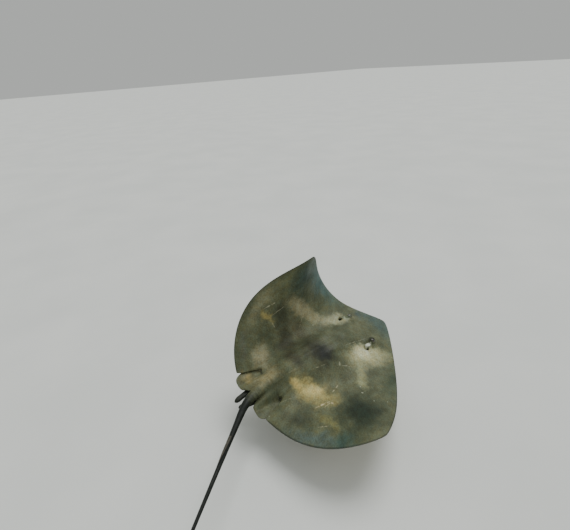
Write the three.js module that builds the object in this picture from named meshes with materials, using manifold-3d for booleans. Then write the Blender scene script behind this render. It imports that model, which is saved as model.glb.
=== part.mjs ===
// A southern stingray, adult male, as a life-size museum model on a low display stand.
// Millimetres. +Z is up and the snout points along -Y, so the ray's left side is +X.
// The origin is the centre of the stand's underside.
import * as THREE from 'three';
import { mergeVertices } from 'three/addons/utils/BufferGeometryUtils.js';
import Module from 'manifold-3d';

const { clamp, degToRad, lerp, smoothstep } = THREE.MathUtils;

// ------------------------------------------------------------------ driving sizes
// The flattened disc. A station is a distance behind the snout, and a span fraction
// runs from 0 on the body's axis to 1 at the wing tip.
const HALF_SPAN = 300;
const TIP_STATION = 224;         // the leading edges end here
const REAR_STATION = 454.6;      // the disc's rear line reaches this far back on the axis
const SNOUT_CURVE = { power: 1.1, round: 1.028, blunt: 0.03 };
const REAR_CURVE = { power: 1.839, round: 1.768 };
const CORNER = { start: 0.766, depth: 20.3 };      // rounding of the wing corners

// where the disc is parted
const BODY_HALF_WIDTH = 90;
const NECK_STATION = 222;        // just behind the last gill slit
const TRUNK_END = 388;           // the tail and the pelvic fins begin here
const NOTCH = { inner: 45, outer: 71 };         // the wings' free inner rear margin
const LOBE = { length: 57, taper: 32, forwardSlope: 1.3 };      // their free margins
const GAP = 0.6;

// thickness above and below the mid sheet
const MARGIN_HALF = 1.2;
const WING_FLESH = { back: 19, belly: 10, crown: 0.05, taper: 1.7, fullness: 0.7 };
const BODY_FLESH = { back: 29, belly: 11, halfWidth: 120, narrowing: 0.6, lowering: 0.5 };
const BODY_FULL = 180;           // the body has its whole height from this station
const BODY_NARROWS = [216, 432];
const BODY_LOWERS = [252, 432];
const BROW = { station: 104, out: 43, height: 9, along: 19, across: 11 };

// pose of the whole animal
const BANK = degToRad(18.1);     // left side up
const NOSE_UP = degToRad(1.8);
const ANCHOR_STATION = 240;      // the point of the axis that the pose turns about
const ANCHOR = new THREE.Vector3(11, -4.5, 106);

// upward bend of each wing at its front, middle and rear, in degrees at the tip
const LEFT_WING = {
  side: 1, front: -41.3, middle: 93.3, rear: 23.6,
  growth: 1.955, curl: -2.6, sweep: 51.2,
};
const RIGHT_WING = {
  side: -1, front: 10.3, middle: 45.7, rear: 38.7,
  growth: 1.433, curl: -8.2, sweep: -72,
};
const BEND = { start: 0.05, ease: 0.08 };       // where the bend starts and how gently
const CURL_START = 0.60;
const BEND_STEPS = 40;
const NUDGE = { span: 0.004, station: 2 };      // steps that measure the slope of the sheet

// eyes, spiracles and the slits of the underside
const EYE = { radius: 9, station: 105, out: 49, sink: 2.5 };
const EYE_SOCKET = 0.4;
const SPIRACLE = { station: 129, out: 59, half: [8, 15, 13], turn: 0.35 };
const MOUTH = { station: 92, half: [24, 4, 4] };
const GILL = { count: 5, first: 130, pitch: 17, out: 66, taper: 3.5, half: [10, 2, 3], turn: 0.3 };

// pelvic fins and claspers
const PELVIC = { length: 68, middle: 40, half: 27, straight: 21.7, outer: 66, margin: 1.5, clear: 3 };
const PELVIC_ROOT = { rise: 2, drop: -3, swell: 11, inner: 26, outer: 41 };
const PELVIC_FLAP = { swell: 2.2, thinning: 0.6, thinFrom: 54 };
const SINK_STATION = 343;        // from here back the trunk sinks to the roots of fins and tail
const SINK_EDGE = { back: 26, belly: 34 };      // and it rises to the wings from here outward
const CLASPER = {
  root: 424, tip: 484, radius: 6.8, flatness: 0.8, neck: 0.75, blunt: 0.94, low: -13,
  left: [23, 12], right: [-13, -5],
};

// tail: its line curves to the right from the root and then runs out level
const TAIL_LENGTH = 840;
const TAIL_TAPER = { tip: 1, shaft: 6.6, power: 1.9, root: 12.9, rootLength: 60 };
const TAIL_FLATNESS = { root: 0.78, shaft: 0.9, until: 200 };
const TAIL_TURN = { degrees: 42, start: 0, end: 122 };
const TAIL_RETURN = { degrees: -38, start: 400, end: 760 };
const TAIL_DROOP = { degrees: -7, start: 330, end: 620 };
const TAIL_RISE = 6;             // its centre lies this far above the mid sheet at the root
const TAIL_CUTS = [0, 130, 330, 570, TAIL_LENGTH];
const TAIL_RINGS = [10, 9, 9, 9];
const TAIL_SIDES = 12;
const TAIL_KEEL_SIDE = 9;        // the corner of a ring that points down
const TAIL_STEP = 1;
const TAIL_LEVEL = { slope: 90, up: 260 };      // by here it runs level and stands upright
const FOLD = { start: 205, end: 520, depth: 5.5 };   // soft keel under the tail
const STING = { start: 186, length: 72, width: 6.5, thickness: 2.6, tilt: 4, rings: 6, sides: 6 };

// stand
const BASE = { width: 230, length: 260, height: 14, corner: 30, bevel: 2 };
const ROD = { radius: 6, collar: 15, collarHeight: 7, bevel: 2, stations: [165, 322] };
const PAD = { radius: 19, height: 9, taper: 3 };
const SEAT_GAP = 0.35;

// ---------------------------------------------------------------------- materials
const skinBack = { color: 0x6d6b52, roughness: 0.55, metalness: 0 };
const skinPale = { color: 0x8a8468, roughness: 0.55, metalness: 0 };
const skinDark = { color: 0x26302d, roughness: 0.5, metalness: 0 };
const eyeDark = { color: 0x0c0d0c, roughness: 0.12, metalness: 0 };
const spineBone = { color: 0x5f5a48, roughness: 0.5, metalness: 0 };
const standPaint = { color: 0x3b3d3f, roughness: 0.45, metalness: 0.1 };
const standSteel = { color: 0x9a9c9e, roughness: 0.3, metalness: 0.9 };

const model = new THREE.Group();
const ray = new THREE.Group();
ray.position.copy(ANCHOR);
ray.rotation.set(-NOSE_UP, -BANK, 0);
ray.updateMatrixWorld(true);
model.add(ray);

function addPart(parent, name, geometry, finish) {
  const mesh = new THREE.Mesh(geometry, new THREE.MeshStandardMaterial(finish));
  mesh.name = name;
  parent.add(mesh);
  return mesh;
}

// ------------------------------------------------------------------- disc outline
function snoutBow(span) {
  return 1 - (1 - span ** SNOUT_CURVE.power) ** (1 / SNOUT_CURVE.round);
}

function leadingEdge(span) {
  const blunt = Math.hypot(span, SNOUT_CURVE.blunt * (1 - span));
  const corner = clamp((span - CORNER.start) / (1 - CORNER.start), 0, 1);
  return TIP_STATION * (snoutBow(blunt) - snoutBow(SNOUT_CURVE.blunt))
    + CORNER.depth * (1 - Math.sqrt(1 - corner * corner));
}

function rearLine(span) {
  const tip = leadingEdge(1);
  const bow = (1 - span ** REAR_CURVE.power) ** (1 / REAR_CURVE.round);
  return tip + (REAR_STATION - tip) * bow;
}

// the real rear margin: it turns forward at the notches beside the pelvic fins
function rearMargin(span) {
  const out = span * HALF_SPAN;
  const lobe = smoothstep(out, NOTCH.inner, NOTCH.outer);
  return lerp(TRUNK_END, rearLine(span), lobe);
}

function chordFraction(span, station) {
  const front = leadingEdge(span);
  return clamp((station - front) / (rearLine(span) - front), 0, 1);
}

// ------------------------------------------------------------------ bent mid sheet
// Body frame: x to the left, y backward from the anchor, z up.
function bendAngle(wing, span, station) {
  const u = station / REAR_STATION;
  const lift = wing.front * (1 - u) * (1 - 2 * u)
    + wing.middle * 4 * u * (1 - u)
    + wing.rear * u * (2 * u - 1);
  const past = clamp((span - BEND.start) / (1 - BEND.start), 0, 1);
  const eased = (past * past * (1 + BEND.ease)) / (past + BEND.ease);
  const grown = 1 - (1 - eased) ** wing.growth;
  const curl = wing.curl * clamp((span - CURL_START) / (1 - CURL_START), 0, 1);
  return degToRad(lift * grown + curl);
}

// walks outward at one station, each short step tilted by the bend there
function sheetPlace(wing, span, station) {
  const step = span / BEND_STEPS;
  let out = 0;
  let up = 0;
  for (let i = 0; i < BEND_STEPS; i += 1) {
    const angle = bendAngle(wing, (i + 0.5) * step, station);
    out += Math.cos(angle) * step * HALF_SPAN;
    up += Math.sin(angle) * step * HALF_SPAN;
  }
  const back = station - wing.sweep * span * span - ANCHOR_STATION;
  return new THREE.Vector3(wing.side * out, back, up);
}

function sheetNormal(wing, span, station) {
  const across = sheetPlace(wing, span + NUDGE.span, station)
    .sub(sheetPlace(wing, Math.max(span - NUDGE.span, 0), station));
  const along = sheetPlace(wing, span, station + NUDGE.station)
    .sub(sheetPlace(wing, span, station - NUDGE.station));
  return across.cross(along).multiplyScalar(wing.side).normalize();
}

// ---------------------------------------------------------------------- thickness
function wingSwell(span, station) {
  const fraction = chordFraction(Math.hypot(span, WING_FLESH.crown * (1 - span)), station);
  const across = (1 - span * span) ** WING_FLESH.taper;
  const along = (4 * fraction * (1 - fraction)) ** WING_FLESH.fullness;
  return across * along * freeLobe(span * HALF_SPAN, station);
}

// the wings thin out toward their free inner margins beside the pelvic fins
function freeLobe(out, station) {
  const behind = station - TRUNK_END;
  const marginSlope = behind > 0 ? (NOTCH.outer - NOTCH.inner) / LOBE.length : LOBE.forwardSlope;
  const inside = out - NOTCH.inner - behind * marginSlope;
  const thin = smoothstep(inside, -LOBE.taper / 4, LOBE.taper);
  return lerp(1, thin, smoothstep(out, NOTCH.inner - 7, NOTCH.inner + 5));
}

function bodySwell(out, station) {
  const narrow = 1 - BODY_FLESH.narrowing * smoothstep(station, ...BODY_NARROWS);
  const low = 1 - BODY_FLESH.lowering * smoothstep(station, ...BODY_LOWERS);
  const across = clamp(1 - (out / (BODY_FLESH.halfWidth * narrow)) ** 2, 0, 1) ** 2;
  return across * low * smoothstep(station, 0, BODY_FULL);
}

function backHeight(span, station) {
  const out = span * HALF_SPAN;
  const behindBrow = (station - BROW.station) / BROW.along;
  const besideBrow = (out - BROW.out) / BROW.across;
  const brow = Math.exp(-(behindBrow ** 2) - besideBrow ** 2);
  return MARGIN_HALF + WING_FLESH.back * wingSwell(span, station)
    + BODY_FLESH.back * bodySwell(out, station) + BROW.height * brow;
}

function bellyDepth(span, station) {
  return MARGIN_HALF + WING_FLESH.belly * wingSwell(span, station)
    + BODY_FLESH.belly * bodySwell(span * HALF_SPAN, station);
}

function tailHalfWidth(along) {
  const left = clamp(1 - along / TAIL_LENGTH, 0, 1);
  const swollenRoot = TAIL_TAPER.root * Math.exp(-along / TAIL_TAPER.rootLength);
  return TAIL_TAPER.tip + swollenRoot + TAIL_TAPER.shaft * left ** TAIL_TAPER.power;
}

function tailHalfHeight(along) {
  const rounder = smoothstep(along, 0, TAIL_FLATNESS.until);
  return tailHalfWidth(along) * lerp(TAIL_FLATNESS.root, TAIL_FLATNESS.shaft, rounder);
}

// the pelvic fins' thickness: thick beside the tail and thin, under the wing, farther out
function pelvicLayer(out, station, t) {
  const outside = smoothstep(out, PELVIC_ROOT.inner, PELVIC_ROOT.outer);
  const swell = lerp(PELVIC_ROOT.swell, PELVIC_FLAP.swell, outside) * (1 - t) ** 1.1;
  const thin = PELVIC_FLAP.thinning * smoothstep(out, PELVIC_FLAP.thinFrom, PELVIC.outer);
  const half = PELVIC.margin + swell * (1 - thin);
  const underWing = -bellyDepth(out / HALF_SPAN, station) - half - PELVIC.clear;
  const middle = lerp(lerp(PELVIC_ROOT.rise, PELVIC_ROOT.drop, t), underWing, outside);
  return { top: middle + half, bottom: middle - half };
}

// the disc's upper and lower surface as signed heights over the mid sheet
function discLayer(out, station) {
  const span = out / HALF_SPAN;
  const sunk = smoothstep(station, SINK_STATION, TRUNK_END);
  const backSink = sunk * (1 - smoothstep(out, SINK_EDGE.back, NOTCH.inner));
  const bellySink = sunk * (1 - smoothstep(out, SINK_EDGE.belly, NOTCH.inner));
  const root = pelvicLayer(out, TRUNK_END, 0);
  const oval = Math.sqrt(Math.max(1 - (out / tailHalfWidth(0)) ** 2, 0)) * tailHalfHeight(0);
  const rootTop = Math.max(root.top, TAIL_RISE + oval);
  return {
    top: lerp(backHeight(span, station), rootTop, backSink),
    bottom: lerp(-bellyDepth(span, station), root.bottom, bellySink),
  };
}

// a point at a signed height over the mid sheet, for a place out to the left or the right
function fleshPoint(out, station, height) {
  const wing = out < 0 ? RIGHT_WING : LEFT_WING;
  const span = Math.abs(out) / HALF_SPAN;
  return sheetPlace(wing, span, station).addScaledVector(sheetNormal(wing, span, station), height);
}

// ---------------------------------------------------------------- mesh and solids
function closedMesh(positions, triangles) {
  let volume = 0;
  const corner = (i) => new THREE.Vector3().fromArray(positions, 3 * i);
  for (let t = 0; t < triangles.length; t += 3) {
    const [a, b, c] = [corner(triangles[t]), corner(triangles[t + 1]), corner(triangles[t + 2])];
    volume += a.dot(b.cross(c)) / 6;
  }
  const index = [...triangles];
  if (volume < 0) index.reverse();
  const geometry = new THREE.BufferGeometry();
  geometry.setAttribute('position', new THREE.Float32BufferAttribute(positions, 3));
  geometry.setIndex(index);
  geometry.computeVertexNormals();
  return geometry;
}

// two grids of points, an upper and a lower one, closed by walls along the four edges
function slab(columns, rows, pointPair) {
  const positions = [];
  const triangles = [];
  const stride = rows + 1;
  const lower = (columns + 1) * stride;
  const pairs = [];
  for (let i = 0; i <= columns; i += 1) {
    for (let j = 0; j <= rows; j += 1) pairs.push(pointPair(i / columns, j / rows));
  }
  pairs.forEach(([top]) => positions.push(...top.toArray()));
  pairs.forEach(([, bottom]) => positions.push(...bottom.toArray()));
  const quad = (a, b, c, d) => triangles.push(a, b, c, a, c, d);
  for (let i = 0; i < columns; i += 1) {
    for (let j = 0; j < rows; j += 1) {
      const a = i * stride + j;
      quad(a, a + stride, a + stride + 1, a + 1);
      quad(lower + a + 1, lower + a + stride + 1, lower + a + stride, lower + a);
    }
  }
  const wall = (a, b) => quad(b, a, lower + a, lower + b);
  for (let i = 0; i < columns; i += 1) {
    wall(i * stride, (i + 1) * stride);
    wall((i + 1) * stride + rows, i * stride + rows);
  }
  for (let j = 0; j < rows; j += 1) {
    wall(j + 1, j);
    wall(columns * stride + j, columns * stride + j + 1);
  }
  return closedMesh(positions, triangles);
}

// rings of points joined one to the next, each end closed by a fan round its middle
function ringLoft(rings) {
  const sides = rings[0].length;
  const positions = rings.flat().flatMap((point) => point.toArray());
  const triangles = [];
  for (let r = 0; r + 1 < rings.length; r += 1) {
    for (let k = 0; k < sides; k += 1) {
      const a = r * sides + k;
      const b = r * sides + ((k + 1) % sides);
      triangles.push(a, b, b + sides, a, b + sides, a + sides);
    }
  }
  [[0, 1], [rings.length - 1, -1]].forEach(([ring, turn]) => {
    const middle = positions.length / 3;
    const centre = new THREE.Vector3();
    rings[ring].forEach((point) => centre.addScaledVector(point, 1 / sides));
    positions.push(...centre.toArray());
    for (let k = 0; k < sides; k += 1) {
      const a = ring * sides + k;
      const b = ring * sides + ((k + 1) % sides);
      triangles.push(...(turn > 0 ? [middle, b, a] : [middle, a, b]));
    }
  });
  return closedMesh(positions, triangles);
}

const wasm = await Module();
wasm.setup();

function toSolid(geometry) {
  const bare = geometry.clone();
  bare.deleteAttribute('normal');
  bare.deleteAttribute('uv');
  const merged = mergeVertices(bare, 1e-4);
  return new wasm.Manifold(new wasm.Mesh({
    numProp: 3,
    vertProperties: new Float32Array(merged.attributes.position.array),
    triVerts: new Uint32Array(merged.index.array),
  }));
}

function toGeometry(solid) {
  const mesh = solid.getMesh();
  const geometry = new THREE.BufferGeometry();
  geometry.setAttribute('position', new THREE.BufferAttribute(mesh.vertProperties, 3));
  geometry.setIndex(new THREE.BufferAttribute(mesh.triVerts, 1));
  geometry.computeVertexNormals();
  return geometry;
}

function cut(geometry, tools) {
  return toGeometry(tools.reduce((solid, tool) => solid.subtract(toSolid(tool)), toSolid(geometry)));
}

// a lathe repeats its first line of points at the seam, so they are merged
function closeLathe(geometry) {
  return toGeometry(toSolid(geometry));
}

// ------------------------------------------------------------ disc: head and trunk
function discSlab({ left, right, front, rear, columns, rows, grow = 0 }) {
  return slab(columns, rows, (i, j) => {
    const out = lerp(right, left, i);
    const span = Math.abs(out) / HALF_SPAN;
    const station = lerp(front(span), rear(span), j);
    const { top, bottom } = discLayer(Math.abs(out), station);
    return [fleshPoint(out, station, top + grow), fleshPoint(out, station, bottom - grow)];
  });
}

const bodyEdge = BODY_HALF_WIDTH - GAP / 2;
const headFront = (span) => leadingEdge(span);
const headRear = () => NECK_STATION - GAP / 2;
const trunkFront = () => NECK_STATION + GAP / 2;
const bodySides = { left: bodyEdge, right: -bodyEdge, columns: 20 };
const headShape = { ...bodySides, front: headFront, rear: headRear, rows: 16 };
const trunkShape = { ...bodySides, front: trunkFront, rear: rearMargin, rows: 10 };

// an ellipsoid lying on the flesh: x across, y along, z along the sheet's normal
function ellipsoidAt(out, station, height, half, turn = 0, detail = [12, 8]) {
  const wing = out < 0 ? RIGHT_WING : LEFT_WING;
  const up = sheetNormal(wing, Math.abs(out) / HALF_SPAN, station);
  const ball = new THREE.SphereGeometry(1, detail[0], detail[1]);
  ball.scale(half[0], half[1], half[2]);
  ball.rotateZ(turn);
  ball.applyQuaternion(new THREE.Quaternion().setFromUnitVectors(new THREE.Vector3(0, 0, 1), up));
  ball.translate(...fleshPoint(out, station, height).toArray());
  return ball;
}

function eyeBall(side, radius) {
  const out = side * EYE.out;
  const height = backHeight(EYE.out / HALF_SPAN, EYE.station) - EYE.sink;
  return ellipsoidAt(out, EYE.station, height, [radius, radius, radius]);
}

function spiraclePocket(side) {
  const height = backHeight(SPIRACLE.out / HALF_SPAN, SPIRACLE.station);
  const turn = side * SPIRACLE.turn;
  return ellipsoidAt(side * SPIRACLE.out, SPIRACLE.station, height, SPIRACLE.half, turn, [10, 6]);
}

function gillSlit(side, number) {
  const station = GILL.first + number * GILL.pitch;
  const out = GILL.out - number * GILL.taper;
  const depth = -bellyDepth(out / HALF_SPAN, station);
  return ellipsoidAt(side * out, station, depth, GILL.half, side * GILL.turn, [6, 4]);
}

const headCuts = [ellipsoidAt(0, MOUTH.station, -bellyDepth(0, MOUTH.station), MOUTH.half)];
[1, -1].forEach((side) => {
  headCuts.push(eyeBall(side, EYE.radius + EYE_SOCKET), spiraclePocket(side));
  for (let number = 0; number < GILL.count; number += 1) headCuts.push(gillSlit(side, number));
});
addPart(ray, 'head', cut(discSlab(headShape), headCuts), skinBack);
addPart(ray, 'trunk', discSlab(trunkShape), skinBack);
addPart(ray, 'eye_left', eyeBall(1, EYE.radius), eyeDark);
addPart(ray, 'eye_right', eyeBall(-1, EYE.radius), eyeDark);

// --------------------------------------------------------------------------- wings
const WING_GRID = { columns: 12, rowsBefore: 10, rowsBehind: 10, lastAngle: degToRad(86) };

// chord fractions that line up with the rows of head and trunk where they meet the wing
function wingRows() {
  const span = BODY_HALF_WIDTH / HALF_SPAN;
  const { rowsBefore, rowsBehind } = WING_GRID;
  const fractions = [];
  for (let r = 0; r <= rowsBefore; r += 1) {
    fractions.push(chordFraction(span, lerp(leadingEdge(span), NECK_STATION, r / rowsBefore)));
  }
  for (let r = 1; r <= rowsBehind; r += 1) {
    fractions.push(chordFraction(span, lerp(NECK_STATION, rearLine(span), r / rowsBehind)));
  }
  return fractions;
}

// columns stand closer together toward the tip, where the outline turns fastest
function wingSlab(wing) {
  const rootAngle = Math.asin((BODY_HALF_WIDTH + GAP / 2) / HALF_SPAN);
  const rowFractions = wingRows();
  return slab(WING_GRID.columns, rowFractions.length - 1, (i, j) => {
    const span = Math.sin(lerp(rootAngle, WING_GRID.lastAngle, i));
    const fraction = rowFractions[Math.round(j * (rowFractions.length - 1))];
    const station = lerp(leadingEdge(span), rearLine(span), fraction);
    const out = wing.side * span * HALF_SPAN;
    return [
      fleshPoint(out, station, backHeight(span, station)),
      fleshPoint(out, station, -bellyDepth(span, station)),
    ];
  });
}

addPart(ray, 'wing_left', wingSlab(LEFT_WING), skinBack);
addPart(ray, 'wing_right', wingSlab(RIGHT_WING), skinBack);

// ---------------------------------------------------------------------------- tail
// steps out the centre line in the model's frame, from the root to the tip
function tailLine() {
  const frames = [];
  const place = fleshPoint(0, TRUNK_END + GAP, 0).add(new THREE.Vector3(0, 0, TAIL_RISE));
  place.applyMatrix4(ray.matrixWorld);
  const rootBack = new THREE.Vector3(0, 1, 0).transformDirection(ray.matrixWorld);
  const rootUp = new THREE.Vector3(0, 0, 1).transformDirection(ray.matrixWorld);
  const rootSlope = Math.asin(rootBack.z);
  const heading = Math.atan2(rootBack.y, rootBack.x);
  for (let along = 0; along <= TAIL_LENGTH; along += TAIL_STEP) {
    const turn = TAIL_TURN.degrees * smoothstep(along, TAIL_TURN.start, TAIL_TURN.end)
      + TAIL_RETURN.degrees * smoothstep(along, TAIL_RETURN.start, TAIL_RETURN.end);
    const droop = TAIL_DROOP.degrees * smoothstep(along, TAIL_DROOP.start, TAIL_DROOP.end);
    const slope = rootSlope * (1 - smoothstep(along, 0, TAIL_LEVEL.slope)) + degToRad(droop);
    const yaw = heading + degToRad(turn);
    const level = new THREE.Vector3(Math.cos(yaw), Math.sin(yaw), 0);
    const forward = level.multiplyScalar(Math.cos(slope)).setZ(Math.sin(slope));
    const up = rootUp.clone().lerp(new THREE.Vector3(0, 0, 1), smoothstep(along, 0, TAIL_LEVEL.up));
    up.addScaledVector(forward, -up.dot(forward)).normalize();
    const side = new THREE.Vector3().crossVectors(forward, up);
    frames.push({ place: place.clone(), up, side });
    place.addScaledVector(forward, TAIL_STEP);
  }
  return frames;
}

const tail = tailLine();
const tailFrame = (along) => tail[Math.round(clamp(along, 0, TAIL_LENGTH) / TAIL_STEP)];

function foldDepth(along) {
  const t = clamp((along - FOLD.start) / (FOLD.end - FOLD.start), 0, 1);
  return FOLD.depth * Math.sin(Math.PI * t) ** 0.7;
}

function tailRing(along) {
  const { place, side, up } = tailFrame(along);
  const ring = [];
  for (let k = 0; k < TAIL_SIDES; k += 1) {
    const angle = (2 * Math.PI * k) / TAIL_SIDES;
    let high = Math.sin(angle) * tailHalfHeight(along);
    if (k === TAIL_KEEL_SIDE) high -= foldDepth(along);
    const point = place.clone().addScaledVector(side, Math.cos(angle) * tailHalfWidth(along));
    ring.push(point.addScaledVector(up, high));
  }
  return ring;
}

TAIL_RINGS.forEach((steps, number) => {
  const start = TAIL_CUTS[number] + (number > 0 ? GAP / 2 : 0);
  const end = TAIL_CUTS[number + 1] - (number + 1 < TAIL_RINGS.length ? GAP / 2 : 0);
  const rings = [];
  for (let r = 0; r <= steps; r += 1) {
    const along = lerp(start, end, r / steps);
    rings.push(tailRing(along));
  }
  addPart(model, `tail_${number + 1}`, ringLoft(rings), number === 0 ? skinPale : skinDark);
});

// the sting lies back along the top of the tail and its tip lifts a little
function stingRings() {
  const rings = [];
  for (let r = 0; r <= STING.rings; r += 1) {
    const t = r / STING.rings;
    const along = STING.start + STING.length * t;
    const { place, side, up } = tailFrame(along);
    const halfWide = (STING.width / 2) * Math.max(1 - t ** 2.2, 0.08);
    const halfThick = (STING.thickness / 2) * Math.max(1 - t ** 3, 0.15);
    const rise = STING.length * t * Math.tan(degToRad(STING.tilt));
    const base = tailHalfHeight(STING.start) + STING.thickness / 2 + SEAT_GAP + rise;
    rings.push(Array.from({ length: STING.sides }, (_, k) => {
      const angle = (2 * Math.PI * k) / STING.sides;
      const point = place.clone().addScaledVector(up, base + Math.sin(angle) * halfThick);
      return point.addScaledVector(side, Math.cos(angle) * halfWide);
    }));
  }
  return rings;
}
addPart(model, 'tail_sting', ringLoft(stingRings()), spineBone);

// -------------------------------------------------------- pelvic fins and claspers
// and each begins beside the tail, which swings to the right from its root
function pelvicPair(side, i, j) {
  const guess = PELVIC.length * j;
  const swing = ray.worldToLocal(tailFrame(guess).place.clone()).x;
  const inner = tailHalfWidth(guess) + 2 * GAP + Math.max(side * swing, 0);
  const out = lerp(inner, PELVIC.outer, i);
  const fromMiddle = Math.abs(Math.max(out, PELVIC.straight) - PELVIC.middle) / PELVIC.half;
  const fullness = (1 - fromMiddle ** 4) ** 0.25;
  const station = TRUNK_END + GAP + PELVIC.length * fullness * j;
  const { top, bottom } = pelvicLayer(out, station, j);
  return [fleshPoint(side * out, station, top), fleshPoint(side * out, station, bottom)];
}

// a finger-like organ beside the vent, its tip turned in below the tail
const CLASPER_GRID = { rings: 8, sides: 8 };
function clasperRings([rootOut, tipOut]) {
  const rings = [];
  for (let r = 0; r <= CLASPER_GRID.rings; r += 1) {
    const t = r / CLASPER_GRID.rings;
    const tipRound = Math.sqrt(1 - (CLASPER.blunt * smoothstep(t, 0.7, 1)) ** 2);
    const radius = CLASPER.radius * tipRound * lerp(CLASPER.neck, 1, smoothstep(t, 0, 0.4));
    const centre = fleshPoint(lerp(rootOut, tipOut, t), lerp(CLASPER.root, CLASPER.tip, t), 0);
    rings.push(Array.from({ length: CLASPER_GRID.sides }, (_, k) => {
      const angle = (2 * Math.PI * k) / CLASPER_GRID.sides;
      const high = CLASPER.low + Math.sin(angle) * radius * CLASPER.flatness;
      return centre.clone().add(new THREE.Vector3(Math.cos(angle) * radius, 0, high));
    }));
  }
  return rings;
}

addPart(ray, 'pelvic_fin_left', slab(8, 7, (i, j) => pelvicPair(1, i, j)), skinPale);
addPart(ray, 'pelvic_fin_right', slab(8, 7, (i, j) => pelvicPair(-1, i, j)), skinPale);
addPart(ray, 'clasper_left', ringLoft(clasperRings(CLASPER.left)), skinDark);
addPart(ray, 'clasper_right', ringLoft(clasperRings(CLASPER.right)), skinDark);

// --------------------------------------------------------------------------- stand
function roundedSlab({ width, length, height, corner, bevel }) {
  const [x, y] = [width / 2 - bevel, length / 2 - bevel];
  const r = corner - bevel;
  const shape = new THREE.Shape();
  shape.absarc(x - r, y - r, r, 0, Math.PI / 2);
  shape.absarc(r - x, y - r, r, Math.PI / 2, Math.PI);
  shape.absarc(r - x, r - y, r, Math.PI, 1.5 * Math.PI);
  shape.absarc(x - r, r - y, r, 1.5 * Math.PI, 2 * Math.PI);
  const geometry = new THREE.ExtrudeGeometry(shape, {
    depth: height - 2 * bevel, bevelThickness: bevel, bevelSize: bevel, bevelSegments: 1, curveSegments: 5,
  });
  return geometry.translate(0, 0, bevel);
}
addPart(model, 'stand_base', roundedSlab(BASE), standPaint);

// where a rod meets the belly, in the model's frame
function bellySeat(station) {
  const seat = fleshPoint(0, station, discLayer(0, station).bottom);
  return seat.applyMatrix4(ray.matrixWorld);
}

const grownHead = discSlab({ ...headShape, grow: SEAT_GAP }).applyMatrix4(ray.matrixWorld);
const grownTrunk = discSlab({ ...trunkShape, grow: SEAT_GAP }).applyMatrix4(ray.matrixWorld);

['front', 'rear'].forEach((place, number) => {
  const seat = bellySeat(ROD.stations[number]);
  const padFoot = seat.z - PAD.height;
  const foot = BASE.height + SEAT_GAP;
  const rodTop = padFoot - SEAT_GAP;
  const collarTop = foot + ROD.collarHeight;
  const profile = [
    [0, foot],
    [ROD.collar, foot],
    [ROD.collar, collarTop - ROD.bevel],
    [ROD.collar - ROD.bevel, collarTop],
    [ROD.radius, collarTop],
    [ROD.radius, rodTop],
    [0, rodTop],
  ].map(([radius, height]) => new THREE.Vector2(radius, height));
  const rod = new THREE.LatheGeometry(profile, 20).rotateX(Math.PI / 2).translate(seat.x, seat.y, 0);
  addPart(model, `stand_rod_${place}`, closeLathe(rod), standSteel);
  const blank = PAD.height * 2.5;      // cut down to the shape of the belly
  const pad = new THREE.CylinderGeometry(PAD.radius, PAD.radius - PAD.taper, blank, 24);
  pad.rotateX(Math.PI / 2).translate(seat.x, seat.y, padFoot + blank / 2);
  addPart(model, `stand_pad_${place}`, cut(pad, [grownHead, grownTrunk]), standPaint);
});

export default model;
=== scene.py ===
# %% [markdown]
# # A southern stingray on a museum stand
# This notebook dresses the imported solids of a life-size ray. The solids say how big
# everything is and where it sits. Blender adds one seamless skin over the cut pieces
# of flesh, real eyes, a sting, and finishes for every surface. All lengths below are
# written in millimetres and turned into Blender's metres at the last moment.

# %% Load the frame
import math
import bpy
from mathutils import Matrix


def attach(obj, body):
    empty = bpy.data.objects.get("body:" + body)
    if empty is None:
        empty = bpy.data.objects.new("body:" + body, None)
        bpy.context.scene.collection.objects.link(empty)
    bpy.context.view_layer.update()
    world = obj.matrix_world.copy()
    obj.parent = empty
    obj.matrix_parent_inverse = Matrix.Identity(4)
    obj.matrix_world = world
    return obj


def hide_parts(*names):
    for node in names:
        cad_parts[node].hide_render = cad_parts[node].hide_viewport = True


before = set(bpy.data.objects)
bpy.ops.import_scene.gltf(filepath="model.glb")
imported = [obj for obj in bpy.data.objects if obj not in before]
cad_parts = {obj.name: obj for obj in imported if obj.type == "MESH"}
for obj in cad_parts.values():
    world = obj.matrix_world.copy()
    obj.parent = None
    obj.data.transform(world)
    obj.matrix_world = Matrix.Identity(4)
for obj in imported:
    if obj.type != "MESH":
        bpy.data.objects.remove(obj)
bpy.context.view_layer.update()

from types import SimpleNamespace as Sizes

import bmesh
import bpy
import numpy as np
from mathutils import Matrix, Vector
from mathutils.kdtree import KDTree

MM = 0.001
print("solids:", len(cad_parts))

# %% [markdown]
# ## The camera
# A camera could be aimed with a Track To constraint at an empty. Here its three axes
# are worked out from a heading, a downward pitch and a slight tilt, because then the
# view is fixed by four plain numbers. The lens is a mild wide angle.

# %% Place the camera
ANCHOR = np.array([11.0, -4.5, 106.0])        # the point of the body that the pose turns about
CAMERA_FROM_ANCHOR = np.array([-684.7, 541.7, 684.7])
CAMERA_HEADING = math.radians(-33.73)
CAMERA_PITCH = math.radians(25.46)
CAMERA_TILT = math.radians(4.0)
SENSOR_WIDTH = 36
FRAME_WIDTH_PX, FOCAL_PX = 570, 420


def camera_axes():
    ahead = Vector((math.cos(CAMERA_HEADING), math.sin(CAMERA_HEADING), 0))
    right = Vector((ahead.y, -ahead.x, 0))
    forward = ahead * math.cos(CAMERA_PITCH) - Vector((0, 0, math.sin(CAMERA_PITCH)))
    up = right.cross(forward)
    tilted_right = right * math.cos(CAMERA_TILT) - up * math.sin(CAMERA_TILT)
    return tilted_right, tilted_right.cross(forward), forward


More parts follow.
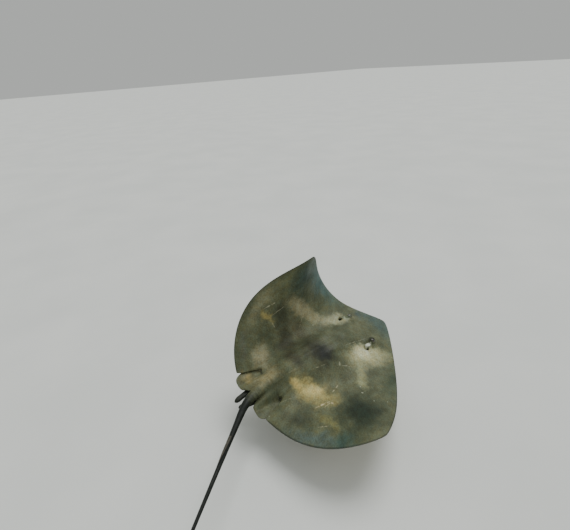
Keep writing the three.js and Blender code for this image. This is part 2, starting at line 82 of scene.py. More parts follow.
def make_camera():
    lens = bpy.data.cameras.new("camera")
    lens.sensor_width = SENSOR_WIDTH
    lens.lens = FOCAL_PX / FRAME_WIDTH_PX * SENSOR_WIDTH
    camera = bpy.data.objects.new("camera", lens)
    bpy.context.scene.collection.objects.link(camera)
    right, up, forward = camera_axes()
    turn = Matrix((right, up, -forward)).transposed().to_4x4()
    place = ANCHOR + CAMERA_FROM_ANCHOR
    camera.matrix_world = Matrix.Translation(Vector(place * MM)) @ turn
    bpy.context.scene.camera = camera
    print("camera at", [round(c) for c in place], "mm, lens", round(lens.lens, 1))


make_camera()

# %% [markdown]
# ## The outline of the disc
# Head, body and the two wing-like pectoral fins of a ray make one flat disc. Its
# outline is drawn on the flattened animal with two curves, one for the front edge and
# one for the rear edge, as formulas of how far out from the axis a point lies. Places
# along the animal are called stations and count backward from the snout.

# %% Outline of the flattened disc
HALF_SPAN = 300.0
TIP_STATION = 224.0
REAR_STATION = 454.6
SNOUT_POWER, SNOUT_ROUND, SNOUT_BLUNT = 1.1, 1.028, 0.03
REAR_POWER, REAR_ROUND = 1.839, 1.768
CORNER_START, CORNER_DEPTH = 0.766, 20.3
TRUNK_END = 388.0
NOTCH_INNER, NOTCH_OUTER = 45.0, 71.0
ANCHOR_STATION = 240.0


def smoothstep(value, low, high):
    t = np.clip((value - low) / (high - low), 0, 1)
    return t * t * (3 - 2 * t)


def fade(value, low, high):
    return 1 - smoothstep(value, low, high)


def lerp(a, b, t):
    return a + (b - a) * t


def hill(distance, width):
    return np.exp(-(distance / width) ** 2)


def bulge(value, height, at, width):
    return height * hill(value - at, width)


def full_turn(count):
    """Angles of a closed ring."""
    return np.linspace(0, 2 * np.pi, count, endpoint=False)


def snout_bow(span):
    return 1 - (1 - span ** SNOUT_POWER) ** (1 / SNOUT_ROUND)


def leading_edge(span):
    blunt = np.hypot(span, SNOUT_BLUNT * (1 - span))
    corner = np.clip((span - CORNER_START) / (1 - CORNER_START), 0, 1)
    bow = snout_bow(blunt) - snout_bow(SNOUT_BLUNT)
    return TIP_STATION * bow + CORNER_DEPTH * (1 - np.sqrt(1 - corner ** 2))


def rear_line(span):
    tip = leading_edge(1.0)
    return tip + (REAR_STATION - tip) * (1 - span ** REAR_POWER) ** (1 / REAR_ROUND)


def rear_margin(span):
    lobe = smoothstep(span * HALF_SPAN, NOTCH_INNER, NOTCH_OUTER)
    return lerp(TRUNK_END, rear_line(span), lobe)


def chord_fraction(span, station):
    front = leading_edge(span)
    return np.clip((station - front) / (rear_line(span) - front), 0, 1)


print("disc:", 2 * HALF_SPAN, "mm across,", REAR_STATION, "mm long")

# %% [markdown]
# ## Bending the disc
# A swimming ray rolls a wave through its wings. A cage or an armature could bend a
# flat mesh, but a formula is steadier. Walking outward at one station, each small step
# tilts a little more, and the steps add up to the bent cross-section. The tilt differs
# at the front, the middle and the rear of each wing.

# %% Bend both wings
BANK = math.radians(18.1)
NOSE_UP = math.radians(1.8)
LEFT_WING = Sizes(side=1, front=-41.3, middle=93.3, rear=23.6, growth=1.955, curl=-2.6, sweep=51.2)
RIGHT_WING = Sizes(side=-1, front=10.3, middle=45.7, rear=38.7, growth=1.433, curl=-8.2,
                   sweep=-72.0)
BEND_START, BEND_EASE, CURL_START, BEND_STEPS = 0.05, 0.08, 0.60, 40
SPAN_NUDGE, STATION_NUDGE = 0.004, 2.0       # steps that measure the slope of the sheet


def bend_angle(wing, span, station):
    u = station / REAR_STATION
    lift = (wing.front * (1 - u) * (1 - 2 * u) + wing.middle * 4 * u * (1 - u)
            + wing.rear * u * (2 * u - 1))
    past = np.clip((span - BEND_START) / (1 - BEND_START), 0, 1)
    eased = past ** 2 * (1 + BEND_EASE) / (past + BEND_EASE)
    grown = 1 - (1 - eased) ** wing.growth
    curl = wing.curl * np.clip((span - CURL_START) / (1 - CURL_START), 0, 1)
    return np.radians(lift * grown + curl)


def wing_place(wing, span, station):
    """Body-frame points of one wing's mid sheet: x to the left, y backward, z up."""
    step = span / BEND_STEPS
    out = np.zeros(span.shape)
    up = np.zeros(span.shape)
    for i in range(BEND_STEPS):
        angle = bend_angle(wing, (i + 0.5) * step, station)
        out += np.cos(angle) * step * HALF_SPAN
        up += np.sin(angle) * step * HALF_SPAN
    back = station - wing.sweep * span ** 2 - ANCHOR_STATION
    return np.stack([wing.side * out, back, up], -1)


def unit(vectors):
    return vectors / np.linalg.norm(vectors, axis=-1, keepdims=True)


def wing_normal(wing, span, station):
    outer, inner = span + SPAN_NUDGE, np.maximum(span - SPAN_NUDGE, 0)
    across = wing_place(wing, outer, station) - wing_place(wing, inner, station)
    behind, ahead = station + STATION_NUDGE, station - STATION_NUDGE
    along = wing_place(wing, span, behind) - wing_place(wing, span, ahead)
    return unit(np.cross(across, along) * wing.side)


def both_wings(function, out, station):
    """Works out a wing function at places whose sign tells left (+) from right (-)."""
    out, station = np.broadcast_arrays(np.asarray(out, float), np.asarray(station, float))
    result = np.zeros(out.shape + (3,))
    for wing, mine in ((LEFT_WING, out >= 0), (RIGHT_WING, out < 0)):
        if mine.any():
            result[mine] = function(wing, np.abs(out[mine]) / HALF_SPAN, station[mine])
    return result


def sheet_place(out, station):
    return both_wings(wing_place, out, station)


def sheet_normal(out, station):
    return both_wings(wing_normal, out, station)


def rotation_matrix():
    cos, sin = math.cos(-NOSE_UP), math.sin(-NOSE_UP)
    about_x = np.array([[1, 0, 0], [0, cos, -sin], [0, sin, cos]])
    cos, sin = math.cos(-BANK), math.sin(-BANK)
    about_y = np.array([[cos, 0, sin], [0, 1, 0], [-sin, 0, cos]])
    return about_x @ about_y


POSE = rotation_matrix()


def posed(points):
    """Body frame to the frame's own axes, still in millimetres."""
    return points @ POSE.T + ANCHOR


left_tip = posed(sheet_place(HALF_SPAN, TIP_STATION))
print("left wing tip:", left_tip.round(), "mm")

# %% [markdown]
# ## Flesh
# The sheet gets its thickness from three swells added together: thin margins, the
# muscle of the wings, and the thick body on the axis. The brows over the eyes are two
# small hills, and toward its end the trunk sinks to the roots of tail and pelvic fins.

# %% Thickness of the flesh
MARGIN_HALF = 1.2
WING = Sizes(back=19.0, belly=10.0, crown=0.05, taper=1.7, fullness=0.7)
BODY = Sizes(back=29.0, belly=11.0, half_width=120.0, snout_end=180.0)
BODY_NARROWS = Sizes(share=0.6, start=216.0, end=432.0)
BODY_THINS = Sizes(share=0.5, start=252.0, end=432.0)
BROW = Sizes(station=104.0, out=43.0, height=9.0, along=19.0, across=11.0)
LOBE = Sizes(length=57.0, taper=32.0, forward_slope=1.3, inside=7.0, outside=5.0)
SINK_STATION, SINK_EDGES = 343.0, (26.0, 34.0)
TAIL_LENGTH, TAIL_RISE = 840.0, 6.0
TAIL_TAPER = Sizes(tip=1.0, root=12.9, root_length=60.0, shaft=6.6, power=1.9)
TAIL_OVAL = Sizes(root=0.78, shaft=0.9, end=200.0)          # height for width
PELVIC_LENGTH, PELVIC_MIDDLE, PELVIC_HALF, PELVIC_OUTER = 68.0, 40.0, 27.0, 66.0
PELVIC_MARGIN, PELVIC_CLEAR = 1.5, 3.0
PELVIC_ROOT = Sizes(rise=2.0, drop=-3.0, swell=11.0, inner=26.0, outer=41.0)
PELVIC_BLADE = Sizes(swell=2.2, power=1.1, thinning=0.6, thin_from=54.0)
SOLIDS_GAP = 0.6


def free_lobe(out, station):
    """The wings thin out toward their free inner margins beside the pelvic fins."""
    behind = station - TRUNK_END
    lobe_slope = (NOTCH_OUTER - NOTCH_INNER) / LOBE.length
    slope = np.where(behind > 0, lobe_slope, LOBE.forward_slope)
    inside = out - NOTCH_INNER - behind * slope
    thin = smoothstep(inside, -LOBE.taper / 4, LOBE.taper)
    notch = smoothstep(out, NOTCH_INNER - LOBE.inside, NOTCH_INNER + LOBE.outside)
    return lerp(1, thin, notch)


def wing_swell(out, station):
    span = out / HALF_SPAN
    fraction = chord_fraction(np.hypot(span, WING.crown * (1 - span)), station)
    camber = (4 * fraction * (1 - fraction)) ** WING.fullness
    return (1 - span ** 2) ** WING.taper * camber * free_lobe(out, station)


def body_swell(out, station):
    narrow, thin = (1 - part.share * smoothstep(station, part.start, part.end)
                    for part in (BODY_NARROWS, BODY_THINS))
    across = np.clip(1 - (out / (BODY.half_width * narrow)) ** 2, 0, 1) ** 2
    return across * smoothstep(station, 0, BODY.snout_end) * thin


def back_height(out, station):
    brow = hill(station - BROW.station, BROW.along) * hill(out - BROW.out, BROW.across)
    return (MARGIN_HALF + WING.back * wing_swell(out, station)
            + BODY.back * body_swell(out, station) + BROW.height * brow)


def belly_depth(out, station):
    return (MARGIN_HALF + WING.belly * wing_swell(out, station)
            + BODY.belly * body_swell(out, station))


def tail_half_width(along):
    left = np.clip(1 - along / TAIL_LENGTH, 0, 1)
    root = TAIL_TAPER.root * np.exp(-along / TAIL_TAPER.root_length)
    return TAIL_TAPER.tip + root + TAIL_TAPER.shaft * left ** TAIL_TAPER.power


def tail_half_height(along):
    oval = lerp(TAIL_OVAL.root, TAIL_OVAL.shaft, smoothstep(along, 0, TAIL_OVAL.end))
    return tail_half_width(along) * oval


def pelvic_layer(out, station, t):
    """Middle height and half thickness of a pelvic fin, t of the way from root to edge."""
    outside = smoothstep(out, PELVIC_ROOT.inner, PELVIC_ROOT.outer)
    swell = lerp(PELVIC_ROOT.swell, PELVIC_BLADE.swell, outside)
    swell = swell * np.clip(1 - t, 0, 1) ** PELVIC_BLADE.power
    thinner = PELVIC_BLADE.thinning * smoothstep(out, PELVIC_BLADE.thin_from, PELVIC_OUTER)
    half = PELVIC_MARGIN + swell * (1 - thinner)
    under_wing = -belly_depth(out, station) - half - PELVIC_CLEAR
    middle = lerp(lerp(PELVIC_ROOT.rise, PELVIC_ROOT.drop, t), under_wing, outside)
    return middle, half


def disc_layer(out, station):
    """Signed heights of the upper and lower surface over the mid sheet."""
    sunk = smoothstep(station, SINK_STATION, TRUNK_END)
    back_sink, belly_sink = (sunk * fade(out, edge, NOTCH_INNER) for edge in SINK_EDGES)
    root_middle, root_half = pelvic_layer(out, TRUNK_END, 0)
    oval = np.sqrt(np.clip(1 - (out / tail_half_width(0)) ** 2, 0, 1)) * tail_half_height(0)
    root_top = np.maximum(root_middle + root_half, TAIL_RISE + oval)
    top = lerp(back_height(out, station), root_top, back_sink)
    bottom = lerp(-belly_depth(out, station), root_middle - root_half, belly_sink)
    return top, bottom


def flesh_point(out, station, height):
    """Body-frame points at a signed height over the mid sheet."""
    lift = sheet_normal(out, station) * np.asarray(height, float)[..., None]
    return sheet_place(out, station) + lift


thickness = float(np.ptp(disc_layer(0.0, ANCHOR_STATION)))
print("thickness on the axis at the anchor:", round(thickness), "mm")

# %% [markdown]
# ## Building meshes from grids
# Most parts of the animal are grids of points computed with numpy, because a formula
# keeps them equal to the solids. A plate has an upper and a lower grid that share the
# points along their border, so it is a closed body from the start. A loft joins rings.

# %% Mesh helpers
def make_mesh(name, points, faces):
    """Points are in the frame's axes and in millimetres."""
    mesh = bpy.data.meshes.new(name)
    mesh.from_pydata((np.asarray(points) * MM).tolist(), [], faces)
    mesh.update()
    mesh.polygons.foreach_set("use_smooth", [True] * len(mesh.polygons))
    thing = bpy.data.objects.new(name, mesh)
    bpy.context.scene.collection.objects.link(thing)
    return thing


def cells(index):
    """The four corners of every cell of a grid."""
    corners = index[:-1, :-1], index[1:, :-1], index[1:, 1:], index[:-1, 1:]
    return np.stack([corner.ravel() for corner in corners], -1)


def plate_mesh(name, top, bottom):
    columns, rows = top.shape[:2]
    count = columns * rows
    index = np.arange(count).reshape(columns, rows)
    inner = np.zeros((columns, rows), bool)
    inner[1:-1, 1:-1] = True
    lower = cells(np.where(inner, index + count, index))[:, ::-1]
    used, compact = np.unique(np.concatenate([cells(index), lower]), return_inverse=True)
    points = np.concatenate([top.reshape(-1, 3), bottom.reshape(-1, 3)])[used]
    return make_mesh(name, points, compact.reshape(-1, 4).tolist())


def loft_mesh(name, rings):
    """Joins rings of points, and closes both ends round their middles."""
    count, sides = rings.shape[:2]
    index = np.arange(count * sides).reshape(count, sides)
    following = np.roll(index, -1, 1)
    faces = np.stack([index[:-1], following[:-1], following[1:], index[1:]], -1)
    faces = faces.reshape(-1, 4).tolist()
    first, last = count * sides, count * sides + 1
    for here, there in zip(index.T, following.T):
        faces.append([first, int(there[0]), int(here[0])])
        faces.append([last, int(here[-1]), int(there[-1])])
    points = np.concatenate([rings.reshape(-1, 3), rings[:1].mean(1), rings[-1:].mean(1)])
    return make_mesh(name, points, faces)


def graded(stops):
    """Positions from (start, end, step) stretches joined end to end."""
    parts = [np.linspace(a, b, max(int(round((b - a) / step)), 1), endpoint=False)
             for a, b, step in stops]
    return np.append(np.concatenate(parts), stops[-1][1])


print("a graded row:", graded([(0, 4, 2), (4, 6, 0.5)]))

# %% [markdown]
# ## The disc
# The grid is finest over the head, where lids, spiracles, mouth and gill slits need
# small cells, and coarser over the wings. Near the outline both surfaces are rounded
# off, as a fin's rim is a soft edge and not a cut.

# %% Grid of the disc
RIM_ROUND = 3.2
TRUNK_OVERLAP, OVERLAP_EASE = 5.0, 6.0
OUT_STOPS = [(0, 36, 1.2), (36, 66, 0.5), (66, 80, 1.2), (80, 276, 2.8), (276, 296, 1.2),
             (296, 299.6, 0.4)]
CHORD_STOPS = [(0, 0.004, 0.001), (0.004, 0.17, 0.005), (0.17, 0.27, 0.0012), (0.27, 0.46, 0.0028),
               (0.46, 0.84, 0.0058), (0.84, 0.99, 0.004), (0.99, 1, 0.0015)]


def disc_grid():
    """Place of every grid point on the flattened animal, and how far it is from the rim."""
    half = graded(OUT_STOPS)
    out = np.concatenate([-half[:0:-1], half])[:, None]
    front = leading_edge(np.abs(out) / HALF_SPAN)
    overlap = TRUNK_OVERLAP * fade(np.abs(out), NOTCH_INNER - OVERLAP_EASE, NOTCH_INNER)
    rear = rear_margin(np.abs(out) / HALF_SPAN) + overlap
    station = front + (rear - front) * graded(CHORD_STOPS)[None, :]
    slope_front, slope_rear = (np.gradient(line[:, 0], out[:, 0])[:, None]
                               for line in (front, rear))
    to_front = (station - front) / np.sqrt(1 + slope_front ** 2)
    to_rear = (rear - station) / np.sqrt(1 + slope_rear ** 2)
    to_tip = half[-1] - np.abs(out)
    edge = np.minimum(np.minimum(to_front, to_rear), to_tip)
    return np.broadcast_to(out, station.shape).copy(), station, edge


def rim_factor(edge, width):
    return np.sqrt(1 - np.clip(1 - edge / width, 0, 1) ** 2)


out_grid, station_grid, edge_grid = disc_grid()
disc_sheet = sheet_place(out_grid, station_grid)
disc_normal = sheet_normal(out_grid, station_grid)
print("disc grid:", out_grid.shape[0], "columns by", out_grid.shape[1], "rows")

# %% [markdown]
# ## Head
# A ray's eyes stand up from the skin on the back, each under a heavy brow, with the
# spiracle that draws in water close behind. The skin is lifted over each eyeball like
# cloth over a marble, and the opening is pressed in over the ball, which leaves a real
# lid with a rim.

# %% Eyes and spiracles in the skin
EYE = Sizes(radius=9.0, station=105.0, out=49.0, sink=2.5)
LID = Sizes(thick=1.3, opening=math.radians(35), soft=2.2, tuck=1.5, spread=9.0, reach=3)
LID_RIM = (0.7, 0.15, 0.11)                                # height, angle, width in radians
LID_EDGE = (-0.06, 0.03)
DOME_FADE = (1.0, 4.0)
GAZE = Sizes(outward=0.50, forward=0.22, upward=0.84)
SPIRACLE = Sizes(station=129.0, out=60.0, across=6.0, along=11.0, turn=0.35, depth=8.0)
SPIRACLE_WALL = (0.30, 1.02)                               # shares of its half width
SPIRACLE_RIM, SPIRACLE_VALVE = (1.3, 1.16, 0.16), (5.5, 0.55, 0.25)   # height, place, width
VALVE_FRONT = (2, 9)
BACK_RIDGES = [     # height, out, half width, station, half length
    (2.0, 24, 9, 218, 16), (-1.4, 0, 13, 96, 26), (1.1, 0, 8, 150, 22), (1.2, 30, 10, 372, 10)]
SPINE = Sizes(height=1.6, half_width=7, rise=(170, 215), end=(372, 392))


def local_axes(out, station):
    """Outward, backward and upward directions of the skin at one place."""
    up = sheet_normal(out, station)
    back = sheet_place(out, station + STATION_NUDGE) - sheet_place(out, station - STATION_NUDGE)
    back = unit(back - up * np.sum(back * up))
    outward = np.cross(back, up) * np.sign(out)
    return outward, back, up


def eye_centre(side):
    height = back_height(EYE.out, EYE.station) - EYE.sink
    return flesh_point(side * EYE.out, EYE.station, height)


def eye_axes(side):
    outward, back, up = local_axes(side * EYE.out, EYE.station)
    gaze = outward * GAZE.outward - back * GAZE.forward + up * GAZE.upward
    return outward, back, up, unit(gaze)


def drape_lids(points, side):
    """Lifts the skin over one eyeball and opens it along the gaze."""
    outward, back, up, gaze = eye_axes(side)
    centre = eye_centre(side)
    radius = EYE.radius
    dome = radius + LID.thick
    offset = points - centre
    near = np.linalg.norm(offset, axis=-1) < LID.reach * radius
    x, y, z = (offset[near] @ axis for axis in (outward, back, up))
    cover = np.sqrt(np.clip(dome ** 2 - x ** 2 - y ** 2, 0, None))
    lifted = (z + cover + np.sqrt((z - cover) ** 2 + LID.soft ** 2)) / 2
    beside = fade(np.hypot(x, y), dome, dome + LID.spread)
    z = lerp(z, lifted, np.where(cover > 0, 1, beside))
    moved = x[:, None] * outward + y[:, None] * back + z[:, None] * up
    distance = np.linalg.norm(moved, axis=-1)
    angle = np.arccos(np.clip(moved @ gaze / distance, -1, 1)) - LID.opening
    on_dome = fade(distance - dome, *DOME_FADE)
    rim = bulge(angle, *LID_RIM) * on_dome
    opened = fade(angle, *LID_EDGE) * on_dome
    target = lerp(distance + rim, radius - LID.tuck, opened)
    points[near] = centre + moved * (target / distance)[:, None]


def press_spiracle(points, side):
    out, station = side * SPIRACLE.out, SPIRACLE.station
    outward, back, up = local_axes(out, station)
    offset = points - flesh_point(out, station, back_height(SPIRACLE.out, station))
    cos, sin = math.cos(SPIRACLE.turn), math.sin(SPIRACLE.turn)
    across = offset @ (outward * cos + back * sin)
    along = offset @ (back * cos - outward * sin)
    reach = np.hypot(across / SPIRACLE.across, along / SPIRACLE.along)
    pit = -SPIRACLE.depth * fade(reach, *SPIRACLE_WALL)
    valve = bulge(reach, *SPIRACLE_VALVE) * smoothstep(-along, *VALVE_FRONT)
    return (pit + valve + bulge(reach, *SPIRACLE_RIM))[..., None] * up


def back_relief(out, station):
    """Low forms of the back: the line of the spine, the skull and both limb girdles."""
    relief = SPINE.height * hill(out, SPINE.half_width)
    relief = relief * smoothstep(station, *SPINE.rise) * fade(station, *SPINE.end)
    for height, beside, half_width, middle, half_length in BACK_RIDGES:
        ridge = bulge(np.abs(out), height, beside, half_width)
        relief += ridge * hill(station - middle, half_length)
    return relief


print("eyeballs:", 2 * EYE.radius, "mm, half opening:", round(math.degrees(LID.opening)), "deg")

# %% [markdown]
# ## Underside
# Mouth, nostrils and gill slits are all below. Each is a groove or a pit pressed into
# the lower grid, with a raised edge where the flesh folds over.

# %% Mouth, nostrils and gill slits
MOUTH = Sizes(station=92.0, half=24.0, bow=4.5, depth=5.0, width=2.0, corner=(-5.0, 1.0))
LIPS = [(1.3, 5.0, 3.2), (0.9, -4.5, 2.6)]                 # height, place, width
NOSTRIL = Sizes(station=78.0, out=19.0, across=4.0, along=6.5, depth=4.5, floor=0.3,
                rim=(0.8, 1.2, 0.2))
CURTAIN = Sizes(height=1.6, start=(72, 86), end=88.5, half=(14, 17))
FRINGE = Sizes(depth=0.5, pitch=1.9, edge=(-0.6, 0.5))
GILL = Sizes(count=5, first=130.0, pitch=17.0, out=66.0, taper=3.5, half=10.0, turn=0.3)
SLIT = Sizes(depth=3.0, width=1.1, bow=0.035, corner=(-3.0, 1.0), fold=(1.1, -2.8, 2.0))
VENT = Sizes(station=384.0, out=0.0, across=4.0, along=9.0, depth=4.0, floor=0.1,
             rim=(1.0, 1.3, 0.3))


def around(value, middle, edges):
    """One inside a middle value, and none past its edges."""
    return fade(value, middle + edges[0], middle + edges[1])


def pit(part, out, station):
    """An oval pit with a raised rim."""
    reach = np.hypot((np.abs(out) - part.out) / part.across,
                     (station - part.station) / part.along)
    return bulge(reach, *part.rim) - part.depth * fade(reach, part.floor, 1)


def mouth_relief(out, station):
    behind = station - (MOUTH.station - MOUTH.bow * (out / MOUTH.half) ** 2)
    relief = -MOUTH.depth * hill(behind, MOUTH.width)
    for lip in LIPS:
        relief += bulge(behind, *lip)
    return relief * around(np.abs(out), MOUTH.half, MOUTH.corner)


def nose_relief(out, station):
    fringe = CURTAIN.end + FRINGE.depth * np.sin(out * FRINGE.pitch)
    flap = CURTAIN.height * smoothstep(station, *CURTAIN.start)
    flap = flap * around(station, fringe, FRINGE.edge) * fade(np.abs(out), *CURTAIN.half)
    return pit(NOSTRIL, out, station) + flap


def gill_relief(out, station):
    relief = np.zeros(out.shape)
    cos, sin = math.cos(GILL.turn), math.sin(GILL.turn)
    for number in range(GILL.count):
        across = np.abs(out) - (GILL.out - GILL.taper * number)
        along = station - (GILL.first + GILL.pitch * number)
        u = across * cos + along * sin
        v = along * cos - across * sin + SLIT.bow * u ** 2
        slit = bulge(v, *SLIT.fold) - SLIT.depth * hill(v, SLIT.width)
        relief += around(np.abs(u), GILL.half, SLIT.corner) * slit
    return relief


def disc_surfaces():
    rim = rim_factor(edge_grid, RIM_ROUND)
    high, low = disc_layer(np.abs(out_grid), station_grid)
    pressed = sum(relief(out_grid, station_grid)
                  for relief in (mouth_relief, nose_relief, gill_relief))
    pressed = pressed + pit(VENT, out_grid, station_grid)
    high = (high + back_relief(out_grid, station_grid)) * rim
    low = (low - pressed) * rim
    top, bottom = (disc_sheet + disc_normal * height[..., None] for height in (high, low))
    for side in (1, -1):
        top += press_spiracle(top, side)
        drape_lids(top, side)
    return top, bottom


sources = []


def note_source(points, *facts):
    """Remembers what each point of a piece stands for, so that the joined skin can ask.

    The facts are out, station, belly, distance from the rim, distance along the tail
    and clasper.
    """
    columns = np.broadcast_arrays(*facts)
    facts = np.stack([np.asarray(column, float).ravel() for column in columns], -1)
    sources.append((points.reshape(-1, 3), facts))


disc_top, disc_bottom = (posed(points) for points in disc_surfaces())
for layer, belly in ((disc_top, 0.0), (disc_bottom, 1.0)):
    note_source(layer, out_grid, station_grid, belly, edge_grid, 0.0, 0.0)
disc = plate_mesh("disc", disc_top, disc_bottom)
print("disc:", len(disc.data.vertices), "points")

# %% [markdown]
# ## Tail
# The tail is a whip that follows a centre line stepped out one millimetre at a time.
# Each step turns a little, so the line curves to the ray's right from its root and
# runs out level. A soft fold of skin hangs under its first half.

# %% Tail
TAIL_TURN = Sizes(degrees=42.0, start=0.0, end=122.0)
TAIL_RETURN = Sizes(degrees=-38.0, start=400.0, end=760.0)
TAIL_DROOP = Sizes(degrees=-7.0, start=330.0, end=620.0)
TAIL_LEVEL, TAIL_UPRIGHT = 90.0, 260.0
FOLD = Sizes(start=205.0, end=520.0, depth=5.5, fullness=0.7, width=0.16)
RIDGE = Sizes(height=0.6, width=0.2, rise=(250, 330))
TAIL_SIDES, TAIL_INSIDE, TAIL_INSIDE_SIZE = 40, 16.0, 0.9
TAIL_TIP, TAIL_TIP_LEAST = 4.0, 0.02
TAIL_STOPS = [(-TAIL_INSIDE, 120, 1.2), (120, 520, 1.7), (520, TAIL_LENGTH - TAIL_TIP, 2.4),
              (TAIL_LENGTH - TAIL_TIP, TAIL_LENGTH, 0.5)]
TAIL_PALE_SIDE, TAIL_PALE_END = (0.5, 0.8), 40.0
FAR_FROM_RIM = 30.0


def part_of(change, along):
    return change.degrees * smoothstep(along, change.start, change.end)


def tail_line():
    """Place, forward, side and up at every millimetre, in the frame's axes."""
    along = np.arange(0, TAIL_LENGTH + 1)
    back, root_up = POSE[:, 1], POSE[:, 2]
    turned = np.radians(part_of(TAIL_TURN, along) + part_of(TAIL_RETURN, along))
    yaw = math.atan2(back[1], back[0]) + turned
    slope = math.asin(back[2]) * fade(along, 0, TAIL_LEVEL) + np.radians(part_of(TAIL_DROOP, along))
    level = np.cos(slope)
    forward = np.stack([level * np.cos(yaw), level * np.sin(yaw), np.sin(slope)], -1)
    up = lerp(root_up, np.array([0.0, 0, 1]), smoothstep(along, 0, TAIL_UPRIGHT)[:, None])
    up = unit(up - forward * np.sum(up * forward, -1, keepdims=True))
    root = flesh_point(0.0, TRUNK_END + SOLIDS_GAP, 0.0) + np.array([0, 0, TAIL_RISE])
    place = posed(root) + np.concatenate([np.zeros((1, 3)), np.cumsum(forward, 0)[:-1]])
    return place, forward, np.cross(forward, up), up


TAIL_LINE = tail_line()


def tail_frame(along):
    """Place, side and up at any distance along the tail, also a little before its root."""
    step = np.clip(along, 0, TAIL_LENGTH)
    low = np.minimum(step.astype(int), len(TAIL_LINE[0]) - 2)
    t = (step - low)[..., None]
    place, forward, side, up = (lerp(line[low], line[low + 1], t) for line in TAIL_LINE)
    return place + forward * np.minimum(along, 0)[..., None], side, up


def spread(frame_at, x, z):
    """Rings of points: x to the side and z up from places along the tail."""
    place, side, up = (part[:, None] for part in frame_at)
    return place + x[..., None] * side + z[..., None] * up


def fold_depth(along):
    t = np.clip((along - FOLD.start) / (FOLD.end - FOLD.start), 0, 1)
    return FOLD.depth * np.sin(np.pi * t) ** FOLD.fullness


def tail_rings(along, angle):
    tip = np.sqrt(np.clip((TAIL_LENGTH - along) / TAIL_TIP, TAIL_TIP_LEAST, 1))
    size = tip * lerp(TAIL_INSIDE_SIZE, 1, smoothstep(along, -TAIL_INSIDE, 0))
    wide = tail_half_width(np.maximum(along, 0)) * size
    tall = tail_half_height(np.maximum(along, 0)) * size
    keel = hill(angle - 1.5 * np.pi, FOLD.width) * fold_depth(along)
    ridge = RIDGE.height * hill(angle - 0.5 * np.pi, RIDGE.width)
    ridge = ridge * smoothstep(along, *RIDGE.rise) * tip
    z = np.sin(angle) * tall - keel + ridge
    return spread(tail_frame(along[:, 0]), np.cos(angle) * wide, z)


tail_along, ring_angle = graded(TAIL_STOPS)[:, None], full_turn(TAIL_SIDES)[None, :]
tail_skin = tail_rings(tail_along, ring_angle)
pale = smoothstep(-np.sin(ring_angle), *TAIL_PALE_SIDE) * fade(tail_along, 0, TAIL_PALE_END)
note_source(tail_skin, np.cos(ring_angle) * tail_half_width(tail_along), TRUNK_END + tail_along,
            pale, FAR_FROM_RIM, tail_along, 0.0)
tail = loft_mesh("tail", tail_skin)
print("tail:", len(tail_along), "rings,", TAIL_LENGTH, "mm long")

# %% [markdown]
# ## Pelvic fins and claspers
# The two small fins beside the tail root show from above as rounded lobes, and a pair
# of claspers, the finger-like organs of a male, lies between them and the tail.

# %% Pelvic fins and claspers
PELVIC_INSIDE, PELVIC_RIM, PELVIC_STRAIGHT, PELVIC_CORNER = 0.2, 2.4, 21.7, 4
PELVIC_NEAR_TAIL = Sizes(length=0.72, start=8, end=27)
PELVIC_HIDDEN = Sizes(rise=7, ease=11, size=0.85)
PELVIC_OUT_STOPS = [(4, 24, 2), (24, 58, 1.2), (58, PELVIC_OUTER, 0.6)]
PELVIC_LENGTH_STOPS = [(-PELVIC_INSIDE, 0, 0.04), (0, 0.9, 0.018), (0.9, 1, 0.008)]
CLASPER = Sizes(root=424.0, tip=484.0, radius=6.8, low=-13.0, inside=0.12, rise=8, flat=0.8)
CLASPER_LINES = dict(left=(23.0, 12.0), right=(-13.0, -5.0))
CLASPER_BULB = Sizes(root=0.75, end=0.4)
CLASPER_TIP = Sizes(start=0.7, narrowing=0.985)
CLASPER_GROOVE = Sizes(depth=0.3, width=0.3, start=0.1, end=0.3)
CLASPER_RINGS, CLASPER_SIDES, CLASPER_BELLY = 46, 28, 0.4


def pelvic_fin(name, side):
    out = graded(PELVIC_OUT_STOPS)[:, None]
    t = graded(PELVIC_LENGTH_STOPS)[None, :]
    beside = np.abs(np.maximum(out, PELVIC_STRAIGHT) - PELVIC_MIDDLE) / PELVIC_HALF
    fullness = (1 - np.clip(beside, 0, 0.99) ** PELVIC_CORNER) ** (1 / PELVIC_CORNER)
    near_tail = smoothstep(out, PELVIC_NEAR_TAIL.start, PELVIC_NEAR_TAIL.end)
    fullness = fullness * lerp(PELVIC_NEAR_TAIL.length, 1, near_tail)
    station = TRUNK_END + SOLIDS_GAP + PELVIC_LENGTH * t * np.where(t > 0, fullness, 1)
    out = np.broadcast_to(out, station.shape)
    middle, half = pelvic_layer(out, station, np.maximum(t, 0))
    hidden = np.clip(-t / PELVIC_INSIDE, 0, 1)
    wing_side = smoothstep(out, NOTCH_INNER - PELVIC_HIDDEN.ease, NOTCH_INNER)
    middle = middle + PELVIC_HIDDEN.rise * hidden * wing_side
    edge = np.minimum((1 - t) * PELVIC_LENGTH * fullness, PELVIC_OUTER - out)
    edge = np.maximum(edge, 0)
    half = half * lerp(1, PELVIC_HIDDEN.size, hidden) * rim_factor(edge, PELVIC_RIM)
    half[:, 0] = half[0] = 0
    layers = [posed(flesh_point(side * out, station, middle + way * half)) for way in (1, -1)]
    for layer, belly in zip(layers, (0.0, 1.0)):
        note_source(layer, side * out, station, belly, edge, 0.0, 0.0)
    return plate_mesh(f"pelvic_fin_{name}_skin", *layers)


